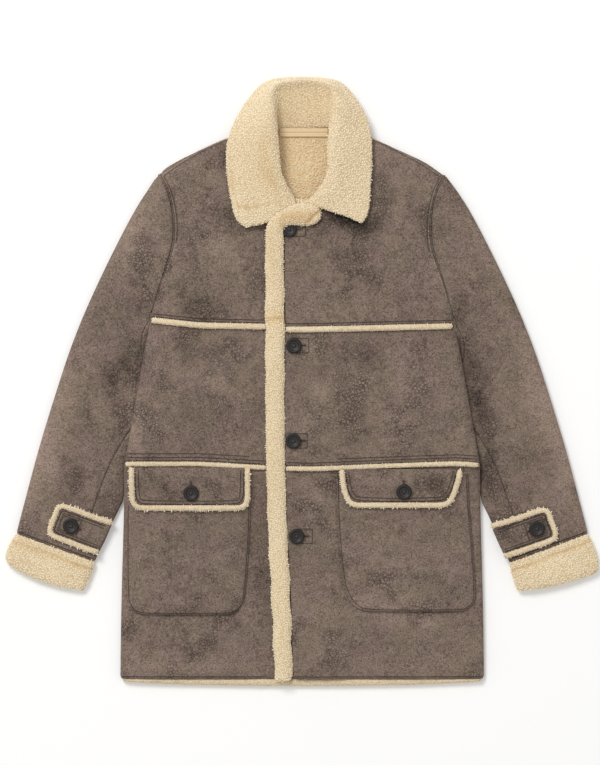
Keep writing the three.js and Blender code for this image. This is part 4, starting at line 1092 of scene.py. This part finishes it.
# %% [markdown]
# ## Sewing
# Topstitching is what makes flat cloth look like a coat. Each row is a shallow furrow pulled
# down by the thread, with short stitches in it. A row is drawn as a line across the coat and
# dropped on the cloth by rays from above, so it follows every fold. The furrow is a narrow
# ribbon of the same suede, with painted shade that is darkest in its middle; some are painted
# pale instead, as a highlight. The stitches are one small shape, copied.

# %% Rows dropped on the cloth
RAYS_FROM = 0.2  # metres above the floor
JUMP = 0.003  # metres of height between two points of a row that break it
FURROW = [
    # across by share of its half width, height in millimetres, and how pale its painted shade is
    (-1.0, -0.12, 1.0), (-0.62, 0.16, 0.93), (-0.25, 0.05, 0.50), (0, -0.02, 0.28),
    (0.25, 0.05, 0.50), (0.62, 0.16, 0.93), (1.0, -0.12, 1.0),
]
# Painted shade in a furrow, nearly black at the first depth; the second, below zero, paints a pale
# highlight line over the furrow.
DARKEST, PAINTED_HIGHLIGHT = 1.38, -0.5  # depths of a furrow: nearly black, and a pale ridge instead
FURROW_LIFT, STITCH_LIFT = 0.12, 0.30  # millimetres above the cloth
cover_tree, cover_owner = every_face([*panels.values(), *piles.values(), tape])


def along_line(line, step):
    """Points every `step` millimetres along a line of corners."""
    line = np.array(line, float)
    lengths = np.linalg.norm(np.diff(line, axis=0), axis=1)
    at = np.concatenate([[0], np.cumsum(lengths)])
    count = max(2, int(round(at[-1] / step)) + 1)
    wanted = np.linspace(0, at[-1], count)
    return np.column_stack([np.interp(wanted, at, line[:, 0]), np.interp(wanted, at, line[:, 1])])


def dropped(x, y, on):
    """The place and normal where a ray from above meets the wanted cloth, if nothing hides it."""
    hit = cover_tree.ray_cast(Vector((x * MM, y * MM, RAYS_FROM)), Vector((0, 0, -1)))
    if hit[0] is None or not cover_owner[hit[2]].startswith(on):
        return None
    return np.array(hit[0]), np.array(hit[1])


def smooth_line(corners, rounds=3):
    """Cuts the corners of a line so that it bends softly."""
    line = np.array(corners, float)
    for _ in range(rounds):
        near, far = line[:-1] * 0.75 + line[1:] * 0.25, line[:-1] * 0.25 + line[1:] * 0.75
        line = np.vstack([line[:1], np.column_stack([near, far]).reshape(-1, 2), line[-1:]])
    return line


def new_store():
    return {"points": [], "faces": [], "values": [], "count": 0}


def add_to(store, points, faces, values=0.0):
    """Adds a body to a store of many, and a value for each of its points."""
    store["points"].append(points)
    store["faces"].append(faces + store["count"])
    store["values"].append(np.broadcast_to(values, len(points)))
    store["count"] += len(points)


def piece_from(name, store, finish, value_name=None):
    """One piece of all that was added to a store."""
    values = np.concatenate(store["values"]) if value_name else None
    points, faces = np.vstack(store["points"]), np.vstack(store["faces"])
    return mesh_piece(name, points, faces, finish, values, value_name)


STITCH = model_curl(0.30, [], sides=5, rings=4)
furrows, threads = new_store(), new_store()


def furrow(places, normals, width, depth):
    """A ribbon along the places, with painted shade that is darkest in its middle."""
    side = np.cross(np.gradient(places, axis=0), normals)
    side /= np.linalg.norm(side, axis=1)[:, None] + 1e-12
    rows, points, tones, faces = len(places), [], [], []
    for share, height, tone in FURROW:
        raised = normals * (height + FURROW_LIFT) * MM
        points.append(places + side * share * width * MM + raised)
        tones.append(1 - (1 - tone) * depth)
    for column in range(len(FURROW) - 1):
        a = column * rows + np.arange(rows - 1)
        b, c, d = a + 1, a + rows + 1, a + rows
        faces += [np.column_stack([a, d, c]), np.column_stack([a, c, b])]
    add_to(furrows, np.vstack(points), np.vstack(faces), np.repeat(tones, rows))


def stitch(start, end, up, length):
    """A stitch between two places, on cloth that faces the way `up`."""
    ahead = (end - start) / np.linalg.norm(end - start)
    across = np.cross(up, ahead)
    across /= np.linalg.norm(across)
    axes = np.array([ahead, across, np.cross(ahead, across)])
    middle = (start + end) / 2
    add_to(threads, STITCH[0] @ axes * length * MM + middle + up * STITCH_LIFT * MM, STITCH[1])


def sew(line, on, stitches=True, width=1.9, depth=1.0, pitch=3.9, length=3.1):
    """A furrow of painted shade with stitches along a line, on the cloth whose name starts with
    `on`.
    """
    runs = [[]]
    for x, y in along_line(line, pitch / 2):
        found, run = dropped(x, y, on), runs[-1]
        if found is None or (run and abs(found[0][2] - run[-1][0][2]) > JUMP):
            runs.append([])
        if found is not None:
            runs[-1].append(found)
    made = 0
    for run in runs:
        if len(run) < 3:
            continue
        places, normals = np.array(run).swapaxes(0, 1)
        furrow(places, normals, width, depth)
        for i in range(0, len(run) - 2, 2) if stitches else ():
            stitch(places[i], places[i + 2], normals[i + 1], length)
            made += 1
    return made


def crease(line, on, width, depth=1.0):
    """A furrow of painted shade alone; a depth below zero paints a pale highlight instead."""
    sew(line, on, stitches=False, width=width, depth=depth)


print("stitch faces:", len(STITCH[1]))

# %% Level seams, armholes, shoulders, hem
CHEST = [(-245, 98), (-163, 89), (-57, 87), (-20, 82), (78, 84), (160, 86), (245, 88)]
WAIST = [
    (-287, -132), (-163, -132), (-57, -138), (12, -140), (162, -134), (248, -131), (287, -134),
]
SHOULDER = [
    (68, 402), (90, 397), (114, 386.5), (154.5, 367.8), (190, 351), (210, 339.2), (221, 329.5),
]
ARMHOLE = [
    (227, 330), (213, 304), (206, 272), (204, 245), (206, 213), (215, 188), (225, 160), (234, 130),
]
HEM_ROW = -471.4


def part_of(line, low, high, up):
    """The stretch of a line of (x, y) from x = low to x = high, moved up."""
    return [(x, on_line(line, x) + up) for x in np.linspace(low, high, 24)]


made = 0
for seam, edge, part, rows in ((CHEST, 246, "upper", ((6.2, -26, 1.0), (10.6, -26, 1.0))),
                               (WAIST, 284, "middle", ((5.4, -24, 1.2), (10.6, -24, 1.2)))):
    for up, inner, lower in rows:
        made += sew(part_of(seam, -edge, -58, up), "front_left_" + part)
        made += sew(part_of(seam, inner, edge, up - lower), "front_right_" + part)
# Nearly black painted shadow right above each bead.
for seam, edge, part in ((CHEST, 246, "upper"), (WAIST, 284, "middle")):
    crease(part_of(seam, -edge, -58, 4.5), "front_left_" + part, 1.2, DARKEST)
    crease(part_of(seam, -22, edge, 4.5), "front_right_" + part, 1.2, DARKEST)
made += sew(part_of(WAIST, -282, -84, 16.6), "front_left_middle")
made += sew(part_of(WAIST, 57, 281, 14.2), "front_right_middle")
armhole = smooth_line(ARMHOLE)
for side, end in ((-1, 221), (1, 206)):
    inset = [(side * (x - 5.2), y - 1.5) for x, y in armhole if y > end]
    made += sew(inset, "front")
    made += sew([inset[-1], (inset[-1][0] + side * 4.6, inset[-1][1] - 0.5)], "front")
    # Painted shadow in each armhole and shoulder seam, and a pale painted highlight line beside it.
    crease([(side * (x - 0.9), y) for x, y in armhole], "front", 1.6)
    crease([(side * (x - 3.0), y) for x, y in armhole], "front", 1.5, PAINTED_HIGHLIGHT)
    for up, depth in ((0, 1.0), (2.6, PAINTED_HIGHLIGHT)):
        line = [(side * x, y + up + on_line(SHOULDER_RISE, side * x)) for x, y in SHOULDER]
        crease(line, "front", 1.6, depth)
    # Painted shadow along the seam above the cuff, and where the sleeve's edge lies on the cuff.
    crease([(side * 352, -254), (side * 371, -282)], "sleeve", 2.2, 0.7)
    crease([(side * 453, -240.5), (side * 393, -262), (side * 334, -283.5)], "sleeve", 2.0, 1.35)
made += sew([(-288, HEM_ROW), (-60, HEM_ROW)], "front_left_lower")
made += sew([(-14, HEM_ROW), (288, HEM_ROW)], "front_right_lower")
print("stitches so far:", made)

# %% Pockets and flaps
POCKET_LEFT = [
    (-275.5, -198), (-276, -343), (-271, -358), (-262, -366.5), (-247, -368), (-123, -368),
    (-110, -366), (-99, -358), (-95.6, -346), (-88, -252), (-87.4, -198),
]
POCKET_RIGHT = [
    (59, -145), (61.4, -240), (69.6, -320), (78, -341), (88, -355), (103, -362.6),
    (249, -362.6), (262, -360), (270, -352), (273, -338), (263.5, -222), (259, -146),
]
FLAP_LEFT = [
    (-267, -142), (-266.4, -182), (-262, -193), (-250, -197), (-108, -197), (-97, -193),
    (-92.4, -183), (-92, -142),
]
FLAP_RIGHT = [
    (68, -145), (71, -170), (77, -184), (88, -192.5), (222, -192.5), (233, -184), (240, -170),
    (247, -145),
]


def inset_line(line, by):
    """The line moved to its left-hand side by some millimetres."""
    line = smooth_line(line, 2)
    ahead = np.gradient(line, axis=0)
    ahead /= np.linalg.norm(ahead, axis=1)[:, None]
    return line + np.column_stack([-ahead[:, 1], ahead[:, 0]]) * by


made = sew(inset_line(POCKET_LEFT, -1.9), "pocket_left")
made += sew(inset_line(POCKET_RIGHT, -1.9), "pocket_right")
made += sew([(264.5, -150), (268, -240), (274.5, -322)], "pocket_right")
for line, on in ((FLAP_LEFT, "flap_left_cloth"), (FLAP_RIGHT, "flap_right_cloth")):
    # A nearly black line of painted shade just inside the flap's edge.
    crease(inset_line(line, 0.9), on, 1.8, DARKEST)
    made += sew(inset_line(line, 6.2), on)
print("pocket and flap stitches:", made)

# %% Cuff tabs
TABS = {  # where a tab starts, and its tip
    "left": np.array([(-318, -249.5), (-392, -221.5)]),
    "right": np.array([(315, -255.5), (394, -228)]),
}
SMALL = {"pitch": 3.2, "length": 2.6}  # the shorter stitches of small boxes


def tab_row(hand, spots):
    """A line round a tab. Of each spot, the distance from the start, or, below zero, from the
    tip, is given first, and then how far across it lies."""
    start, tip = TABS[hand]
    long = np.linalg.norm(tip - start)
    along = (tip - start) / long
    across = np.array([-along[1], along[0]])
    return [tuple(start + along * (s if s > 0 else long + s) + across * t) for s, t in spots]


def both_sides(half_line):
    """A line and its mirror image across the middle of a tab, as one row."""
    return half_line + [(s, -t) for s, t in reversed(half_line)]


made = 0
for hand in HANDS:
    on = f"cuff_tab_{hand}_cloth"
    # A nearly black line of painted shade round the tab's edge.
    crease(tab_row(hand, both_sides([(3, 18.4), (-6, 18.4), (-2.2, 15)])), on, 1.9, DARKEST)
    made += sew(tab_row(hand, both_sides([(3, 14.6), (-8, 14.6), (-6.5, 13)])), on)
    made += sew(tab_row(hand, both_sides([(-38, 16.5)])), on)
    made += sew(tab_row(hand, both_sides([(-34, 11.5), (-8, 11.5)])), on, **SMALL)
print("tab stitches:", made)

# %% Buttonholes
def buttonhole(x, y, turn, on, slit, box=None):
    """A slit with close stitches beside it, from a button's middle outwards, in a sewn box."""
    ahead = np.array([np.cos(turn), np.sin(turn)])
    side = np.array([-ahead[1], ahead[0]])

    def line(*spots):
        return [tuple(np.array([x, y]) + ahead * s + side * t) for s, t in spots]

    low, high = slit
    # The slit is painted nearly black, as the shade in it.
    crease(line((low, 0), (high, 0)), on, 2.1, DARKEST)
    count = 0
    bar = {"width": 0.5, "depth": 0.3}
    for s in np.arange(low, high + 0.1, 1.15):
        for t in (-1.7, 1.7):
            across = line((s, t - 1.0), (s, t), (s, t + 1.0))
            count += sew(across, on, pitch=2.0, length=2.0, **bar)
    for t in (-1.2, 0, 1.2):
        along = line((high + 1.4, t - 0.9), (high + 1.4, t + 0.9))
        count += sew(along, on, pitch=1.8, length=1.8, **bar)
    if box:
        near, far, half = box
        count += sew(line((near, half), (far, half), (far, -half), (near, -half)), on, **SMALL)
    return count


FRONT_BUTTONS = [(-21, 242.5, 26), (-13.5, 57, 24), (-14.5, -95, 22.5), (-8.8, -247, 25)]
made = 0
for x, y, far in FRONT_BUTTONS:
    made += buttonhole(x, y, 0.0, "front_right", slit=(11, 20), box=(2, far, 11.5))
made += buttonhole(-177, -178, pi / 2, "flap_left_cloth", slit=(10, 19))
made += buttonhole(162, -176, pi / 2, "flap_right_cloth", slit=(10, 18))
for hand, (x, y) in (("left", (-369, -230.5)), ("right", (374, -235))):
    inwards = TABS[hand][0] - TABS[hand][1]
    turn = np.arctan2(inwards[1], inwards[0])
    made += buttonhole(x, y, turn, f"cuff_tab_{hand}_cloth", slit=(10, 17))
print("buttonhole stitches:", made)

# %% The thread and the furrows as pieces
thread_finish, tree, shader, place = start_finish("dark_thread", 0.7)
twist = wave(tree, place, Scale=900)
colour = blend(tree, twist, (0.036, 0.026, 0.022), (0.080, 0.060, 0.050))
feed(shader, {"Base Color": colour})
bumped(tree, shader, twist, 0.0002, 0.6)
topstitching = piece_from("topstitching", threads, thread_finish)

sewn_suede = make_suede("sewn_suede", sewn=True)
seam_furrows = piece_from("seam_furrows", furrows, sewn_suede, "furrow")
put_painted_light_and_wear(seam_furrows)
print("thread faces:", face_count([topstitching]), "furrow faces:", face_count([seam_furrows]))

# %% [markdown]
# ## Horn buttons
# Each button is turned from dark horn: a round disc with a raised rim, a dished face, and four
# holes with crossed thread. A lathe could give the profile, but the steps of a hand model show
# the parts better: a cylinder whose top is inset and pushed down for the dish, and four small
# cylinders taken away for the holes.

# %% One button
BUTTON_RADIUS, BUTTON_THICK = 12.4, 3.4  # millimetres, like the rest of this cell
BUTTON_MIDDLE = 2.3
RIM_STEPS = [  # from the edge of the top inwards: how wide each ring is, and how far it rises
    (0.5, 0.0), (0.9, 0.9), (1.5, 0.1), (0.9, -0.7), (1.3, -0.75), (2.2, -0.35),
]
HOLES = [(1.9, 1.9), (-1.9, 1.9), (-1.9, -1.9), (1.9, -1.9)]
HOLE_RADIUS = 1.05


def add_cylinder(sides, radius, height, place):
    """A cylinder, with all of its sizes in millimetres."""
    place = Vector(place) * MM
    bpy.ops.mesh.primitive_cylinder_add(
        vertices=sides, radius=radius * MM, depth=height * MM, location=place)
    return bpy.context.object


def only_top(piece):
    """Opens the piece for editing with only its broad top face selected."""
    bpy.ops.object.mode_set(mode="OBJECT")
    for parts in (piece.data.vertices, piece.data.edges):
        parts.foreach_set("select", np.zeros(len(parts), bool))
    for face in piece.data.polygons:
        face.select = face.normal.z > 0.9 and len(face.vertices) > 8
    bpy.ops.object.mode_set(mode="EDIT")
    bpy.ops.mesh.select_mode(type="FACE")


def model_button():
    bpy.ops.object.select_all(action="DESELECT")
    button = add_cylinder(48, BUTTON_RADIUS, BUTTON_THICK, (0, 0, BUTTON_MIDDLE))
    bpy.ops.object.transform_apply(location=True)
    only_top(button)
    for wide, rise in RIM_STEPS:
        bpy.ops.mesh.inset(thickness=wide * MM, depth=rise * MM)
    bpy.ops.object.mode_set(mode="OBJECT")
    modify(button, "BEVEL", width=0.35 * MM, segments=2,
           limit_method="ANGLE", angle_limit=radians(35))
    for x, y in HOLES:
        drill = add_cylinder(14, HOLE_RADIUS, 9, (x, y, 2))
        modify(button, "BOOLEAN", object=drill, operation="DIFFERENCE")
        bpy.data.objects.remove(drill)
    bpy.ops.object.shade_smooth_by_angle(angle=radians(38))
    return button


first_button = model_button()
button_top = points_of(first_button)[:, 2].max() / MM
print("button faces:", face_count([first_button]), "top:", round(float(button_top), 2), "mm")

# %% Horn and button thread
horn, tree, shader, place = start_finish("dark_horn", 0.42)
grain_way = new_node(tree, "Mapping", {"Vector": place, "Scale": (60, 240, 240)}).outputs[0]
figure = spread(tree, noise(tree, grain_way, 1.0, 4, 0.6), 0.36, 0.66)
colour = blend(tree, figure, (0.004, 0.0035, 0.0035), (0.014, 0.011, 0.010))
turned = spread(tree, calc(tree, "PINGPONG", attribute(tree, "turned"), 0.15), 0.03, 0.12)
colour = blend(tree, turned, colour, (0.034, 0.030, 0.028))
feed(shader, {"Base Color": colour, "Specular IOR Level": 0.28})
bumped(tree, shader, noise(tree, place, 800, 3), 0.0002, 0.4)

TUCKED = {"button_front_1": (-4.0, 4.5)}  # the top button slips under the roll, in millimetres
CROSSED = {"length": 6.6, "height": 3.0, "step": 0.3, "apart": 0.28}  # the thread, likewise
button_threads = new_store()


def turned_way(turn):
    return np.array([np.cos(turn), np.sin(turn), 0])


def put_button(node, turn):
    low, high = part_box(node)
    piece = bpy.data.objects.new(node + "_horn", first_button.data.copy())
    scene.collection.objects.link(piece)
    dx, dy = TUCKED.get(node, (0, 0))
    x, y = (low[0] + high[0]) / 2 + dx * MM, (low[1] + high[1]) / 2 + dy * MM
    lift = fold_height(np.array([x / MM]), np.array([y / MM]))[0] * MM
    points = points_of(piece)
    give_points(piece, "turned", np.hypot(points[:, 0], points[:, 1]) / (BUTTON_RADIUS * MM))
    spin = np.array([turned_way(turn), turned_way(turn + pi / 2), (0, 0, 1)])
    put_points(piece, points @ spin + (x, y, low[2] + lift))
    piece.data.materials.append(horn)
    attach(piece, "root")
    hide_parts(node)
    for number in (0, 1):
        ahead = turned_way(turn + pi / 4 + number * pi / 2)
        side = np.array([-ahead[1], ahead[0], 0])
        axes = np.array([ahead, side, (0, 0, 1)])
        body = STITCH[0] @ axes * CROSSED["length"] * MM * np.array([1, 1, 0.8])
        height = (CROSSED["height"] + CROSSED["step"] * number) * MM
        for off in (-CROSSED["apart"], CROSSED["apart"]):
            place = (x, y, low[2] + lift + height)
            add_to(button_threads, body + place + side * off * MM, STITCH[1])
    return piece


button_nodes = [n for n in nodes if n.startswith("button_")]
buttons = [put_button(node, 0.35 * number) for number, node in enumerate(button_nodes)]
bpy.data.objects.remove(first_button)
piece_from("button_thread", button_threads, thread_finish)
print("buttons:", len(buttons))

# %% [markdown]
# ## The cut of the cloth
# Each piece of cloth is listed with the size that it was cut to: its width and length, and its
# area where the cut isn't a rectangle. Only the part that shows is counted here. The two sides
# of each shell are the suede and the pile of one cloth, or the pile and its knitted back.

# %% Sheets
CUTS = {
    # width and length in millimetres, area in square centimetres, and what it lies on
    "back": (590, 885, 4300, "floor"),
    "front_left_upper": (270, 310, 642, "back"),
    "front_left_middle": (308, 237, 645, "back"),
    "front_left_lower": (316, 343, 1045, "back"),
    "front_right_upper": (272, 310, 655, "back"),
    "front_right_middle": (311, 227, 642, "back"),
    "front_right_lower": (317, 343, 1030, "back"),
    "sleeve_left_under": (175, 625, 775, "floor"),
    "sleeve_left_top": (140, 620, 615, "sleeve_left_under"),
    "sleeve_right_under": (175, 625, 775, "floor"),
    "sleeve_right_top": (140, 620, 615, "sleeve_right_under"),
    "pocket_left": (198, 231, 435, "front_left_lower"),
    "pocket_right": (221, 223, 455, "front_right_lower"),
    "flap_left": (175, 60, 102, "pocket_left"),
    "flap_right": (177, 52, 87, "pocket_right"),
    "cuff_tab_left": (80, 41, 31.5, "sleeve_left_top"),
    "cuff_tab_right": (84, 41, 33, "sleeve_right_top"),
    "collar": (130, 600, 470, "back"),
    "front_strip": (36, 790, 265, "front_left_lower"),
    "cuff_left": (145, 110, 150, "floor"),
    "cuff_right": (150, 115, 160, "floor"),
    "hem_pile": (572, 16, 91, "floor"),
    "chest_trim_left": (180, 12, 21.6, "front_left_upper"),
    "chest_trim_right": (265, 12, 31.8, "front_right_upper"),
    "waist_trim_left": (221, 10.5, 23.2, "front_left_middle"),
    "waist_trim_right": (306, 10.5, 32.1, "front_right_middle"),
    "flap_edge_left": (290, 12, 34.8, "pocket_left"),
    "flap_edge_right": (270, 11.5, 31, "pocket_right"),
    "cuff_tab_edge_left": (200, 12.5, 25, "sleeve_left_top"),
    "cuff_tab_edge_right": (210, 12.5, 26.2, "sleeve_right_top"),
    "neck_tape": (78, 14.6, 11.3, "back"),
}
for node, (width, length, area, below) in CUTS.items():
    sewn_on = [topstitching, seam_furrows] if node in panels else []
    sewn_on += [curls[node]] if node in curls else []

# %% [markdown]
# ## The size of the dressed coat
# The last cell compares the size of the dressed coat with the solids and closes the lesson.

# %% Sizes and the end
dressed_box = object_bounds()
grown = np.subtract(dressed_box, cad_box) / MM
print("grown by mm:", grown.round(1).ravel().tolist())
